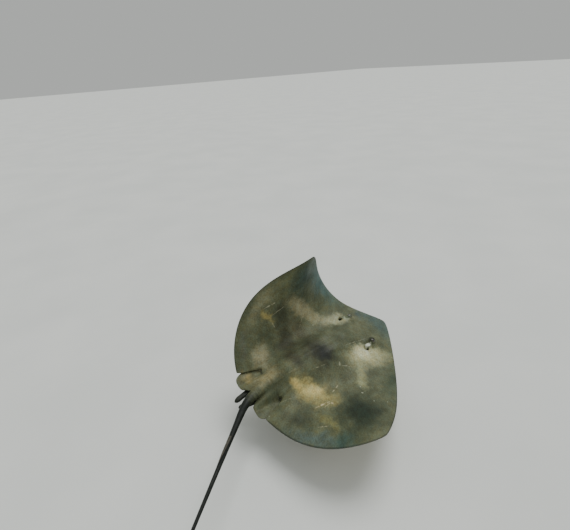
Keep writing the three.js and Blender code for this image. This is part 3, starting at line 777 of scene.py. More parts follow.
def clasper(name):
    """A slim finger that begins inside the flesh, with a groove along its top."""
    t = np.linspace(-CLASPER.inside, 1, CLASPER_RINGS)[:, None]
    angle = full_turn(CLASPER_SIDES)[None, :]
    tip = CLASPER_TIP.narrowing * smoothstep(t, CLASPER_TIP.start, 1)
    bulb = lerp(CLASPER_BULB.root, 1, smoothstep(t, 0, CLASPER_BULB.end))
    groove = CLASPER_GROOVE.depth * hill(angle - np.pi / 2, CLASPER_GROOVE.width)
    groove = groove * smoothstep(t, CLASPER_GROOVE.start, CLASPER_GROOVE.end)
    wide = CLASPER.radius * np.sqrt(1 - tip ** 2) * bulb * (1 - groove)
    low = CLASPER.low + CLASPER.rise * fade(t, -CLASPER.inside, CLASPER.inside)
    x, z = np.cos(angle) * wide, low + np.sin(angle) * wide * CLASPER.flat
    out, station = lerp(*CLASPER_LINES[name], t), lerp(CLASPER.root, CLASPER.tip, t)
    rings = posed(flesh_point(out, station, 0.0) + np.stack([x, np.zeros(x.shape), z], -1))
    note_source(rings, out, station, CLASPER_BELLY, FAR_FROM_RIM, 0.0, np.ones(angle.shape))
    return loft_mesh(f"clasper_{name}_skin", rings)


fins = [pelvic_fin("left", 1), pelvic_fin("right", -1), clasper("left"), clasper("right")]
print("fins and claspers:", [len(fin.data.vertices) for fin in fins])

# %% [markdown]
# ## One skin
# Disc, tail, fins and claspers become one surface with Boolean unions. The grids are
# closed bodies, so the fast Manifold solver can be used. Where two surfaces nearly touch,
# a union can leave crumbs of a few points, and these are deleted.

# %% Join the flesh
CRUMB = 100     # an island with fewer points than this is no part of the animal


def numbers(items, name, width=1, kind=float):
    """One property of many mesh elements as an array."""
    values = np.zeros(len(items) * width, kind)
    items.foreach_get(name, values)
    return values.reshape(-1, width) if width > 1 else values


def face_outward(thing):
    """Turns a mesh inside out where its volume is negative, and gives its cm3."""
    polygons = thing.data.polygons
    flux = np.sum(numbers(polygons, "normal", 3) * numbers(polygons, "center", 3), 1)
    volume = np.sum(flux * numbers(polygons, "area")) / 3
    if volume < 0:
        thing.data.flip_normals()
    return round(abs(volume) * 1e6)


def carve(base, operation, others):
    """Joins other pieces to a base or cuts them from it, for good."""
    for other in others:
        step = base.modifiers.new("carve", "BOOLEAN")
        step.operation, step.solver, step.object = operation, "MANIFOLD", other
    changed = base.evaluated_get(bpy.context.evaluated_depsgraph_get())
    mesh = bpy.data.meshes.new_from_object(changed)
    base.modifiers.clear()
    base.data = mesh


def island_from(start, seen):
    island, queue = [start], [start]
    seen.add(start)
    while queue:
        for edge in queue.pop().link_edges:
            for point in set(edge.verts) - seen:
                seen.add(point)
                island.append(point)
                queue.append(point)
    return island


def drop_crumbs(thing):
    """Deletes small loose islands and says how many points they had."""
    body = bmesh.new()
    body.from_mesh(thing.data)
    seen, crumbs = set(), []
    for start in body.verts:
        if start not in seen:
            island = island_from(start, seen)
            crumbs += island if len(island) < CRUMB else []
    bmesh.ops.delete(body, geom=crumbs, context="VERTS")
    body.to_mesh(thing.data)
    body.free()
    return len(crumbs)


print("volumes in cm3:", [face_outward(thing) for thing in (disc, tail, *fins)])
carve(disc, "UNION", [tail] + fins)
for thing in [tail] + fins:
    bpy.data.objects.remove(thing)
skin = disc
skin.name = "skin"
print("points in crumbs:", drop_crumbs(skin))
print("skin:", len(skin.data.vertices), "points,", len(skin.data.polygons), "faces")

# %% [markdown]
# ## Softening the joins
# A union leaves a hard line where two pieces meet. Around the tail root the points are
# averaged with their neighbours many times, so the flesh flows from one to the other,
# while the rims of the fins stay as they are. The two hollows beside the tail root are
# averaged far more often, which fills them.

# %% Soften the joins
SEAM_REACH, SEAM_CORE, SEAM_ROUNDS, SEAM_PULL = 8.0, 0.3, 26, 0.55
SEAM_FRONT, SEAM_REAR = 330.0, 500.0
ON_SOURCE = 0.02            # a point of the skin this near a source point did not move
LEAST_WEIGHT = 0.001
HOLLOW = Sizes(station=384.0, out=42.0, along=26.0, across=16.0, rim=1.0, rounds=220)


def tree_of(points):
    tree = KDTree(len(points))
    for i, point in enumerate(points.tolist()):
        tree.insert(point, i)
    tree.balance()
    return tree


def look_up_sources(points):
    """For each point of the joined skin: the nearest source point's facts, and how far it is."""
    tree = tree_of(np.concatenate([place for place, _ in sources]))
    facts = np.concatenate([fact for _, fact in sources])
    nearest, distance = np.array([tree.find(point)[1:] for point in points.tolist()]).T
    return facts[nearest.astype(int)], distance


def relax(mesh, points, weight, rounds):
    """Averages each weighted point with its neighbours, again and again."""
    edges = numbers(mesh.edges, "vertices", 2, int)
    edges = edges[(weight[edges] > LEAST_WEIGHT).any(1)]
    used, edges = np.unique(edges, return_inverse=True)
    a, b = edges.reshape(-1, 2).T
    count = len(used)
    soft, pull = points[used], (weight[used] * SEAM_PULL)[:, None]
    degree = np.bincount(a, minlength=count) + np.bincount(b, minlength=count)
    for _ in range(rounds):
        total = np.stack([np.bincount(a, column[b], count) + np.bincount(b, column[a], count)
                          for column in soft.T], -1)
        soft = soft + (total / degree[:, None] - soft) * pull
    points[used] = soft
    return count


def soften_seams(mesh, points, facts, distance):
    out, station, rim = facts[:, 0], facts[:, 1], facts[:, 3]
    zone = np.flatnonzero((station > SEAM_FRONT) & (station < SEAM_REAR))
    seam = zone[distance[zone] > ON_SOURCE]
    tree = tree_of(points[seam])
    reach = np.array([tree.find(point)[2] for point in points[zone].tolist()])
    weight = np.zeros(len(points))
    weight[zone] = fade(reach, SEAM_REACH * SEAM_CORE, SEAM_REACH)
    across = hill(np.abs(out) - HOLLOW.out, HOLLOW.across)
    hollow = hill(station - HOLLOW.station, HOLLOW.along) * across
    hollow = np.where(rim > HOLLOW.rim, hollow, 0)
    softened = relax(mesh, points, np.maximum(weight, hollow), SEAM_ROUNDS)
    filled = relax(mesh, points, hollow, HOLLOW.rounds)
    mesh.vertices.foreach_set("co", (points * MM).ravel())
    mesh.update()
    return len(seam), softened, filled


skin_points = numbers(skin.data.vertices, "co", 3) / MM
skin_facts, moved_by = look_up_sources(skin_points)
found = soften_seams(skin.data, skin_points, skin_facts, moved_by)
print("seam, softened and filled points:", found)

# %% [markdown]
# ## Naming places on the skin
# Markings belong to places on the animal, not to places in the room. So each point of
# the skin stores where it lies on the flattened ray, whether it is on the belly, and how
# far it is from the rim. The material reads these as attributes.

# %% Attributes of the skin
def store(mesh, name, values):
    """Stores one number or one direction for each point of a mesh."""
    kind, key = ("FLOAT_VECTOR", "vector") if values.ndim > 1 else ("FLOAT", "value")
    attribute = mesh.attributes.new(name, kind, "POINT")
    attribute.data.foreach_set(key, np.ascontiguousarray(values, float).ravel())


store(skin.data, "flat", skin_facts[:, :3] * (1, 1, 0))
for column, name in ((2, "belly"), (3, "rim"), (4, "along_tail"), (5, "clasper")):
    store(skin.data, name, skin_facts[:, column])
print("stored:", [item.name for item in skin.data.attributes if not item.name.startswith(".")])

# %% [markdown]
# ## The sting
# A ray's sting is a flat bony blade with a row of backward teeth along each edge. It
# lies back along the tail, its root sunk in the flesh. One ring of points about every
# half millimetre is enough to draw each tooth.

# %% Sting
STING = Sizes(start=186.0, length=72.0, width=6.5, thickness=2.6, tilt=math.radians(4))
STING_ROOT = Sizes(hidden=9.0, size=0.55, sink=0.6)
STING_POINT = Sizes(taper=2.2, least=0.05, flattening=3, thinnest=0.12)
TOOTH = Sizes(pitch=2.3, depth=0.75, first=0.16, ease=0.1)
STING_GROOVES = Sizes(degrees=(70, 110), depth=0.45, width=0.25)
STING_RINGS, STING_SIDES = 172, 16
SEAT = 0.35


def sting_rings():
    t = np.linspace(-STING_ROOT.hidden / STING.length, 1, STING_RINGS)[:, None]
    length = STING.length * t
    shown = np.clip(t, 0, 1)
    body = np.maximum(1 - shown ** STING_POINT.taper, STING_POINT.least)
    tooth = TOOTH.depth * (1 - (length / TOOTH.pitch) % 1)
    tooth = tooth * smoothstep(t, TOOTH.first, TOOTH.first + TOOTH.ease)
    wide = STING.width / 2 * body - tooth * body ** 0.5
    sunk = np.maximum(-length, 0)
    wide = wide * lerp(1, STING_ROOT.size, sunk / STING_ROOT.hidden)
    thin = np.maximum(1 - shown ** STING_POINT.flattening, STING_POINT.thinnest)
    seat = tail_half_height(STING.start) + STING.thickness / 2 + SEAT
    rise = seat + np.maximum(length, 0) * math.tan(STING.tilt) - STING_ROOT.sink * sunk
    angle = full_turn(STING_SIDES)[None, :]
    groove = 1
    for degrees in STING_GROOVES.degrees:
        beside = angle - math.radians(degrees)
        groove = groove - STING_GROOVES.depth * hill(beside, STING_GROOVES.width)
    z = np.sin(angle) * (STING.thickness / 2 * thin) * groove + rise
    return spread(tail_frame(STING.start + length[:, 0]), np.cos(angle) * wide, z)


sting = loft_mesh("sting", sting_rings())
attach(sting, "root")
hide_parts("tail_sting")
print("sting:", round(STING.length / TOOTH.pitch), "teeth on each edge")

# %% [markdown]
# ## Eyeballs
# Each eye is a ball with its pole turned along the gaze. The direction of every point
# of the ball is stored, so the material can draw pupil and iris round that pole.

# %% Eyeballs
BALL_RINGS, BALL_SIDES = 47, 64


def eyeball(name, side):
    outward, back, up, gaze = eye_axes(side)
    across = unit(np.cross(gaze, up))
    high = np.cross(across, gaze)
    theta = np.linspace(0, np.pi, BALL_RINGS + 2)[1:-1, None]
    phi = full_turn(BALL_SIDES)[None, :]
    local = np.stack([np.sin(theta) * np.cos(phi), np.sin(theta) * np.sin(phi),
                      np.cos(theta) * np.ones(phi.shape)], -1)
    points = posed(eye_centre(side) + (local @ np.stack([across, high, gaze])) * EYE.radius)
    ball = loft_mesh("eyeball_" + name, points)
    poles = [[0, 0, 1], [0, 0, -1]]
    store(ball.data, "gaze", np.concatenate([local.reshape(-1, 3), poles]))
    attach(ball, "root")
    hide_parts("eye_" + name)
    return ball


eyeballs = [eyeball("left", 1), eyeball("right", -1)]
print("eyeballs:", [len(ball.data.vertices) for ball in eyeballs], "points")

# %% [markdown]
# ## The stand
# The solids of the stand have straight bevels and few sides. These pieces keep the same
# sizes but are turned and rounded finely. The pads are cut with the skin itself, so they
# cup the belly exactly.

# %% Stand
BASE = Sizes(width=230.0, length=260.0, height=14.0, corner=30.0, bevel=2.0, cap=20.0)
CORNER_POINTS, BEVEL_POINTS = 17, 6
ROD = Sizes(radius=6.0, collar=15.0, collar_height=7.0, stations=(165.0, 322.0))
STEP = Sizes(size=1.2, points=5)
PAD = Sizes(radius=19.0, height=9.0, taper=3.0, chamfer=1.0, blank=2.5)
STAND_SIDES = 96


def rounded_loop(inset, z):
    """The base's outline, moved inward by some millimetres, at one height."""
    corner = BASE.corner
    x, y = BASE.width / 2 - corner, BASE.length / 2 - corner
    loop = []
    for quarter, (sx, sy) in enumerate(((1, 1), (-1, 1), (-1, -1), (1, -1))):
        angle = np.linspace(0, np.pi / 2, CORNER_POINTS) + quarter * np.pi / 2
        reach = corner - inset
        loop.append(np.stack([sx * x + np.cos(angle) * reach, sy * y + np.sin(angle) * reach,
                              np.full(CORNER_POINTS, z)], -1))
    return np.concatenate(loop)


def base_rings():
    turn = np.linspace(0, np.pi / 2, BEVEL_POINTS)
    edge = list(zip(BASE.bevel * (1 - np.sin(turn)), BASE.bevel * (1 - np.cos(turn))))
    lower = [(BASE.cap, 0.0)] + edge
    upper = [(inset, BASE.height - rise) for inset, rise in reversed(lower)]
    return np.stack([rounded_loop(inset, z) for inset, z in lower + upper])


def turned(name, centre, profile):
    """A turned piece: a profile of radius and height, swept round an upright axis."""
    angle = full_turn(STAND_SIDES)
    rings = [np.stack([centre[0] + r * np.cos(angle), centre[1] + r * np.sin(angle),
                       np.full(STAND_SIDES, z)], -1) for r, z in profile]
    return loft_mesh(name, np.stack(rings))


def rounded_step(radius, top):
    """A small rounded edge in a profile, from the side of a step to its top."""
    turn = np.linspace(0, np.pi / 2, STEP.points)
    return [(radius - STEP.size * (1 - math.cos(a)), top - STEP.size * (1 - math.sin(a)))
            for a in turn]


stand = [(loft_mesh("base", base_rings()), "stand_base", "stand_paint")]
for station, place in zip(ROD.stations, ("front", "rear")):
    seat = posed(flesh_point(0.0, station, disc_layer(np.array(0.0), np.array(station))[1]))
    foot, pad_foot = BASE.height + SEAT, seat[2] - PAD.height
    collar_top, narrow = foot + ROD.collar_height, PAD.radius - PAD.taper
    profile = [(ROD.collar, foot)] + rounded_step(ROD.collar, collar_top)
    profile += [(ROD.radius, collar_top), (ROD.radius, pad_foot - SEAT)]
    rod = turned("rod_" + place, seat, profile)
    pad = turned("pad_" + place, seat, [
        (narrow, pad_foot), (narrow + PAD.chamfer, pad_foot + PAD.chamfer),
        (PAD.radius, pad_foot + PAD.blank * PAD.height)])
    face_outward(pad)
    carve(pad, "DIFFERENCE", [skin])
    stand += [(rod, "stand_rod_" + place, "stand_steel"), (pad, "stand_pad_" + place, "stand_pad")]

for thing, node, slot in stand:
    face_outward(thing)
    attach(thing, "root")
    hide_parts(node)
print("stand pieces:", [thing.name for thing, _, _ in stand])

# %% [markdown]
# ## A small kit for materials
# Shader nodes can be wired by hand in the shader editor. A few short helpers do the
# same here: each adds one node, and takes either plain numbers or other nodes' outputs.
# Colours are written as 0 to 255 as on a paint chart and turned into linear light.

# %% Material helpers
SCREEN_CURVE = Sizes(knee=0.04045, slope=12.92, offset=0.055, power=2.4)
USUAL = (0.3, 0.7)          # most noise values lie between these


def paint(*levels):
    """A colour of three levels from 0 to 255 as linear light."""
    curve = SCREEN_CURVE
    levels = (level / 255 for level in levels)
    return tuple(v / curve.slope if v <= curve.knee
                 else ((v + curve.offset) / (1 + curve.offset)) ** curve.power
                 for v in levels) + (1.0,)


class Finish:
    """A Principled material with short names for the nodes used again and again."""

    def __init__(self, name):
        self.material = bpy.data.materials.new(name)
        self.material.use_nodes = True
        self.tree = self.material.node_tree
        self.surface = self.tree.nodes["Principled BSDF"]

    def feed(self, socket, value):
        if isinstance(value, bpy.types.NodeSocket):
            self.tree.links.new(value, socket)
        else:
            socket.default_value = value

    def node(self, kind, inputs, **settings):
        node = self.tree.nodes.new("ShaderNode" + kind)
        for name, value in settings.items():
            setattr(node, name, value)
        for name, value in inputs.items():
            self.feed(node.inputs[name], value)
        return node

    def surface_is(self, **inputs):
        for name, value in inputs.items():
            self.feed(self.surface.inputs[name.replace("_", " ")], value)

    def attribute(self, name, output="Fac"):
        return self.node("Attribute", {}, attribute_name=name).outputs[output]

    def place(self):
        """The place in the room, which on a still model is as good as a place on it."""
        return self.node("NewGeometry", {}).outputs["Position"]

    def math(self, operation, first, second=0.0):
        return self.node("Math", {0: first, 1: second}, operation=operation).outputs[0]

    def plus(self, first, second):
        return self.math("ADD", first, second)

    def times(self, first, second):
        return self.math("MULTIPLY", first, second)

    def vector(self, operation, *inputs):
        return self.node("VectorMath", dict(enumerate(inputs)), operation=operation).outputs[0]

    def ramp(self, value, low, high, start=0.0, end=1.0):
        """A soft step of a value, from start to end between low and high."""
        inputs = {"Value": value, "From Min": low, "From Max": high, "To Min": start, "To Max": end}
        return self.node("MapRange", inputs, interpolation_type="SMOOTHSTEP").outputs["Result"]

    def noise(self, vector, grain, detail=3.0, rough=0.5, distortion=0.0, colour=False):
        """Noise whose lumps are about the given number of units across."""
        inputs = {"Vector": vector, "Scale": 1 / grain, "Detail": detail, "Roughness": rough,
                  "Distortion": distortion}
        return self.node("TexNoise", inputs).outputs[1 if colour else 0]

    def mix(self, factor, *colours, blend="MIX"):
        """Mixes two colours, each a tuple of three levels or another node's output."""
        first, second = (paint(*c) if isinstance(c, tuple) else c for c in colours)
        inputs = {0: factor, 6: first, 7: second}
        return self.node("Mix", inputs, data_type="RGBA", blend_type=blend).outputs[2]

    def bump(self, height, strength, distance, normal=None):
        inputs = {"Height": height, "Strength": strength, "Distance": distance * MM}
        if normal is not None:
            inputs["Normal"] = normal
        return self.node("Bump", inputs).outputs[0]


def give(thing, finish):
    thing.data.materials.clear()
    thing.data.materials.append(finish.material)


print("a warm grey as linear light:", [round(v, 3) for v in paint(128, 124, 116)[:3]])

# %% [markdown]
# ## The markings of the back
# A southern stingray is olive grey with cloudy patches of its own, darker over the gut.
# The ellipses also carry painted light and painted shade: pale buff pools of painted
# light on the head and yellowish ones behind, and dark bluish painted shade on the front
# margin and the outer wings.
# They are laid on as soft ellipses on the flattened animal. The coordinates are pushed
# about by noise first, so no edge of an ellipse stays regular.

# %% Patches, scratches and flecks, with painted light, shade and a glint
# out (left is +), station, half length, half width, turn in degrees, colour, strength
PATCHES_AND_PAINTED_LIGHT = [
    # painted shade: the dark bluish front margin, and the front and tip of the raised left wing
    (8, 24, 134, 56, 0, (76, 90, 83), 0.95),
    (196, 154, 162, 50, 40, (66, 88, 84), 1.0),
    (245, 240, 72, 62, 30, (54, 69, 62), 0.95),
    (-164, 128, 84, 38, 141, (64, 73, 55), 0.95),
    # painted light: a pale buff pool of light beside the right eye
    (-80, 140, 88, 42, 68, (178, 173, 134), 0.95),
    (-66, 150, 44, 26, 75, (206, 200, 162), 0.9),
    (-120, 190, 66, 20, 150, (148, 147, 110), 0.8),
    (64, 148, 70, 32, 64, (158, 155, 124), 0.95),
    (98, 196, 44, 23, 50, (144, 139, 108), 0.85),
    (150, 236, 90, 27, 42, (152, 143, 112), 0.95),
    (54, 116, 14, 11, 0, (160, 168, 144), 0.6),
    (52, 62, 40, 22, -24, (70, 84, 80), 0.8),
    (2, 178, 50, 60, 0, (74, 78, 55), 0.9),
    (0, 258, 88, 48, 0, (52, 52, 38), 1.0),
    (-24, 246, 48, 34, 20, (34, 37, 32), 1.0),
    (-98, 232, 60, 32, 0, (80, 82, 58), 0.8),
    (76, 304, 100, 34, -10, (66, 65, 49), 0.9),
    (164, 298, 64, 22, -14, (62, 63, 48), 0.8),
    # painted shade: the dark outer right wing
    (-208, 250, 100, 76, 20, (38, 47, 35), 1.0),
    # painted light: bright yellowish pools on the right rear of the back
    (-86, 320, 88, 40, 28, (172, 156, 98), 1.0),
    (-78, 314, 44, 22, 24, (202, 184, 124), 0.85),
    (-44, 346, 30, 14, 50, (182, 162, 104), 0.95),
    (-178, 330, 50, 17, 22, (118, 114, 74), 0.75),
    (-112, 286, 34, 17, 62, (92, 91, 62), 0.8),
    (168, 334, 30, 14, 22, (158, 142, 88), 0.85),
    (104, 264, 76, 28, 12, (92, 88, 67), 0.75),
    (72, 374, 54, 30, -20, (142, 135, 106), 0.9),
    (16, 318, 50, 25, 0, (66, 64, 49), 0.85),
    (16, 392, 32, 52, 0, (142, 132, 98), 0.9),
    (44, 428, 24, 22, 0, (152, 132, 84), 0.7),
    (-122, 384, 62, 28, 34, (62, 65, 50), 0.9),
    # painted shade: the dark bluish rear of the outer right wing
    (-196, 374, 142, 24, 37, (82, 93, 86), 0.85),
    (-250, 322, 44, 38, 60, (58, 76, 67), 0.85),
    (205, 352, 76, 28, -36, (128, 124, 96), 0.9),
    (120, 404, 56, 16, -24, (88, 88, 74), 0.7),
]
SCRATCHES = [
    (-110, 272, 24, 2.2, 110, (204, 198, 160), 0.8),
    (-128, 319, 30, 3.0, 78, (214, 205, 166), 0.9),
    (-136, 306, 22, 1.8, 96, (196, 188, 150), 0.7),
    (-181, 345, 28, 2.2, 54, (176, 172, 140), 0.75),
    (195, 325, 24, 2.4, 106, (206, 200, 168), 0.9),
    (172, 306, 30, 1.6, 112, (180, 176, 146), 0.7),
    (-42, 280, 30, 1.6, 77, (160, 158, 128), 0.7),
    (-32, 150, 64, 1.4, 84, (168, 168, 142), 0.6),
    (-78, 208, 34, 1.7, 60, (176, 176, 150), 0.7),
    (138, 322, 12, 1.8, 20, (204, 196, 158), 0.75),
    (120, 240, 40, 1.3, -35, (168, 160, 134), 0.6),
    (-14, 340, 46, 1.5, 84, (150, 146, 116), 0.6),
    (-60, 384, 34, 1.6, 66, (158, 154, 124), 0.6),
    (34, 404, 26, 1.6, 74, (176, 170, 138), 0.7),
]
FLECKS_AND_GLINT = [
    (-198, 210, 2.6, 1.8, 0, (170, 180, 158), 0.8),
    (-160, 220, 3.6, 1.8, 30, (170, 176, 152), 0.8),
    (-142, 213, 2.4, 1.9, 0, (176, 180, 156), 0.8),
    (-63, 225, 6.5, 2.8, 150, (166, 168, 142), 0.6),
    (-140, 298, 5.0, 2.6, 30, (196, 184, 146), 0.7),
    (-218, 182, 2.0, 1.6, 0, (160, 170, 150), 0.7),
    (-68, 436, 2.6, 1.8, 0, (160, 164, 146), 0.6),
    # painted highlight: the next two flecks paint the bright white glint by the right eye and
    # spiracle
    (-54, 121, 12.0, 5.4, 82, (232, 236, 216), 1.0),
    (-67, 136, 8.0, 4.0, 40, (214, 216, 194), 0.7),
    (88, 215, 2.2, 1.7, 0, (160, 162, 140), 0.6),
]


def ellipse_reach(finish, place, out, station, length, width, turn):
    """How far a place is from the middle of an ellipse, 1 at its edge."""
    local = finish.node("Mapping", {
        "Vector": place, "Location": (out, station, 0), "Rotation": (0, 0, math.radians(turn)),
        "Scale": (length, width, 1)}, vector_type="TEXTURE").outputs[0]
    return finish.node("VectorMath", {0: local}, operation="LENGTH").outputs["Value"]


def lay_ellipses(finish, place, colour, ellipses, inner, broken=1.0):
    """Mixes soft ellipses over a colour. Full strength starts inside, and broken thins them."""
    for *shape, hue, strength in ellipses:
        reach = ellipse_reach(finish, place, *shape)
        amount = finish.times(finish.ramp(reach, 1.0, inner, 0.0, strength), broken)
        colour = finish.mix(amount, colour, hue)
    return colour


def wander(finish, place, grain, reach):
    """Shifts a place by noise, up to about the given reach."""
    push = finish.noise(place, grain, 3.0, 0.6, colour=True)
    push = finish.vector("SUBTRACT", push, (0.5, 0.5, 0.5))
    push = finish.vector("MULTIPLY", push, (reach * 2, reach * 2, 0))
    return finish.vector("ADD", place, push)


print("markings:", len(PATCHES_AND_PAINTED_LIGHT), "patches,", len(SCRATCHES), "scratches,", len(FLECKS_AND_GLINT), "flecks")

# %% [markdown]
# ## Skin
# The whole flesh has one material. It mixes four painted regions: the patterned back,
# which also carries painted light and painted shade, the pale belly with its grey border,
# the nearly black tail and claspers, and the dark lids and spiracles, whose pits hold
# painted shade. On top come streaks along the fin rays, speckles and a
# fine grain, and the same noises drive bump and roughness.

# %% Colours of the back
FAN = Sizes(station=235.0, lines=26.0, along=0.016, apart=9.0)
BRIGHTNESS = 1.18


def ray_streaks(finish, flat):
    """Faint lines that fan out over the wings along their fin rays, 0 near the axis."""
    split = finish.node("SeparateXYZ", {0: flat}).outputs
    out = finish.math("ABSOLUTE", split[0])
    behind = finish.math("SUBTRACT", split[1], FAN.station)
    angle = finish.math("ARCTAN2", out, behind)
    radius = finish.math("SQRT", finish.plus(finish.times(out, out), finish.times(behind, behind)))
    side = finish.math("SIGN", split[0])
    scaled = (finish.times(angle, FAN.lines), finish.times(radius, FAN.along),
              finish.times(side, FAN.apart))
    fan = finish.node("CombineXYZ", dict(enumerate(scaled))).outputs[0]
    lines = finish.ramp(finish.noise(fan, 1.0, 3.0, 0.65), *USUAL, -1.0, 1.0)
    return finish.times(lines, finish.ramp(out, 8.0, 60.0))


def back_colour(finish, flat, streaks):
    clouds = finish.noise(flat, 70.0, 3.0, 0.5)
    mottle = finish.noise(flat, 22.0, 3.0, 0.55)
    speckle = finish.noise(flat, 3.6, 3.0, 0.6)
    tinges = finish.noise(flat, 11.0, 3.0, 0.6)
    worn = finish.ramp(finish.noise(flat, 7.0, 4.0, 0.65), 0.42, 0.58)
    colour = finish.mix(finish.ramp(clouds, 0.34, 0.66), (78, 81, 60), (100, 101, 76))
    # the patches mix the ray's own mottling with painted light and painted shade
    colour = lay_ellipses(finish, wander(finish, flat, 34.0, 24.0), colour, PATCHES_AND_PAINTED_LIGHT, 0.1)
    tint = finish.mix(finish.ramp(tinges, 0.35, 0.65), (252, 252, 240), (238, 249, 254))
    colour = finish.mix(1.0, colour, tint, blend="MULTIPLY")
    light = finish.times(streaks, 0.10)
    light = finish.plus(light, finish.ramp(mottle, *USUAL, -0.19, 0.19))
    light = finish.plus(light, finish.ramp(speckle, 0.25, 0.75, -0.28, 0.30))
    lit = {"Color": colour, "Value": finish.plus(light, BRIGHTNESS)}
    colour = finish.node("HueSaturation", lit).outputs[0]
    colour = lay_ellipses(finish, wander(finish, flat, 6.0, 2.4), colour, SCRATCHES, 0.1, worn)
    # the flecks include a painted highlight, a white glint beside the right eye
    return lay_ellipses(finish, wander(finish, flat, 4.0, 2.4), colour, FLECKS_AND_GLINT, 0.45)


print("the streaks fan out from", FAN.station, "mm behind the snout")

# %% [markdown]
# ## Belly, tail and hollows
# The underside is off-white with a few brown spots and a greyish border, which is ragged
# where it meets the pale middle. The eyelids and spiracles come in pairs, so one ellipse
# on the mirrored animal serves both sides.

# %% Colours of belly, tail and hollows
# painted shade: the spiracle pits are painted near black, as the shade of a deep opening
SPIRACLE_PAINTED_SHADE = (SPIRACLE.out + 1.6, SPIRACLE.station, 3.6, 7.5, -20)
LID_DARKENING = (EYE.out, EYE.station, 11.0, 11.0, 0)
TAIL_DARKENS = (26.0, 92.0)


def belly_colour(finish, flat, rim):
    cloud = finish.noise(flat, 24.0, 4.0, 0.6)
    pale = finish.mix(finish.ramp(cloud, 0.35, 0.7), (214, 208, 192), (196, 186, 170))
    ragged = finish.plus(rim, finish.ramp(cloud, 0.2, 0.8, -10.0, 10.0))
    pale = finish.mix(finish.ramp(ragged, 34.0, 2.0), pale, (104, 104, 94))
    spots = finish.ramp(finish.noise(flat, 9.0, 2.0, 0.5), 0.66, 0.74)
    return finish.mix(finish.times(spots, 0.35), pale, (132, 124, 110))


def dark_edges(finish, flat, rim, colour):
    """A thin dark rim round the wings, painted shade in the spiracles, and darker lids."""
    mirrored = finish.node("VectorMath", {0: flat}, operation="ABSOLUTE").outputs[0]
    out = finish.math("ABSOLUTE", finish.node("SeparateXYZ", {0: flat}).outputs[0])
    edge = finish.times(finish.ramp(rim, 3.6, 1.2), finish.ramp(out, 64.0, 90.0, 0.0, 0.55))
    colour = finish.mix(edge, colour, (38, 44, 42))
    # painted shade in the spiracle pits
    spiracle = ellipse_reach(finish, mirrored, *SPIRACLE_PAINTED_SHADE)
    colour = finish.mix(finish.ramp(spiracle, 1.0, 0.6), colour, (20, 22, 19))
    lids = ellipse_reach(finish, mirrored, *LID_DARKENING)
    return finish.mix(finish.ramp(lids, 1.0, 0.55, 0.0, 0.7), colour, (48, 52, 42))


def skin_relief(finish, streaks):
    place = finish.place()
    normal = finish.bump(finish.noise(place, 0.011, 4.0, 0.55, 0.5), 0.35, 1.6)
    normal = finish.bump(streaks, 0.10, 0.5, normal)
    return finish.bump(finish.noise(place, 0.0016, 3.0, 0.6), 0.3, 0.35, normal)


def skin_finish():
    finish = Finish("skin of the ray")
    flat = finish.attribute("flat", "Vector")
    names = ("belly", "rim", "along_tail", "clasper")
    belly, rim, tail, clasper = (finish.attribute(name) for name in names)
    streaks = ray_streaks(finish, flat)
    colour = dark_edges(finish, flat, rim, back_colour(finish, flat, streaks))
    colour = finish.mix(finish.ramp(belly, 0.35, 0.65), colour, belly_colour(finish, flat, rim))
    grain = finish.noise(flat, 6.0, 4.0, 0.6)
    dark = finish.mix(finish.ramp(grain, 0.35, 0.65), (16, 20, 17), (30, 35, 30))
    root = finish.plus(tail, finish.ramp(grain, 0.2, 0.8, -14.0, 14.0))
    colour = finish.mix(finish.ramp(root, *TAIL_DARKENS), colour, dark)
    colour = finish.mix(finish.times(clasper, 0.92), colour, dark)
    wet = finish.ramp(finish.noise(flat, 40.0, 3.0, 0.6), *USUAL, 0.44, 0.62)
    finish.surface_is(Base_Color=colour, Normal=skin_relief(finish, streaks), Roughness=wet,
                      Specular_IOR_Level=0.22)
    return finish


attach(skin, "root")
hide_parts("head", "trunk", "wing_left", "wing_right", "tail_1", "tail_2", "tail_3",
            "tail_4", "pelvic_fin_left", "pelvic_fin_right", "clasper_left", "clasper_right")
give(skin, skin_finish())
print("skin material:", len(skin.data.materials[0].node_tree.nodes), "nodes")

# %% [markdown]
# ## Eye and sting
# A ray's eye is dark, with a thin brassy iris and a pupil partly covered by a lobe of
# skin. A clear coat stands in for the wet cornea. The sting is old bone, browner in its
# grooves.

# %% Eye and sting materials
PUPIL, IRIS = (0.31, 0.27), (0.41, 0.46)      # where each ends, as shares of the eyeball
PUPIL_WIDTH = 0.8


def eye_finish():
    finish = Finish("eye of the ray")
    gaze = finish.attribute("gaze", "Vector")
    split = finish.node("SeparateXYZ", {0: gaze}).outputs
    wide = finish.times(split[0], PUPIL_WIDTH)
    reach = finish.plus(finish.times(wide, wide), finish.times(split[1], split[1]))
    reach = finish.math("SQRT", reach)
    fibres = finish.noise(gaze, 0.05, 3.0, 0.6)
    iris = finish.mix(finish.ramp(fibres, 0.35, 0.65), (40, 36, 22), (84, 74, 44))
    colour = finish.mix(finish.ramp(reach, *PUPIL), iris, (4, 4, 5))
    colour = finish.mix(finish.ramp(reach, *IRIS), colour, (18, 18, 15))
    finish.surface_is(Base_Color=colour, Normal=finish.bump(fibres, 0.05, 0.2),
                      Roughness=finish.ramp(fibres, *USUAL, 0.16, 0.26),
                      Coat_Weight=0.9, Coat_Roughness=0.03)
    return finish


def sting_finish():
    finish = Finish("bone of the sting")
    grain = finish.noise(finish.place(), 0.004, 5.0, 0.6, 0.8)
    colour = finish.mix(finish.ramp(grain, 0.32, 0.68), (40, 38, 31), (74, 69, 55))
    finish.surface_is(Base_Color=colour, Normal=finish.bump(grain, 0.25, 0.3),
                      Roughness=finish.ramp(grain, *USUAL, 0.36, 0.54))
    return finish


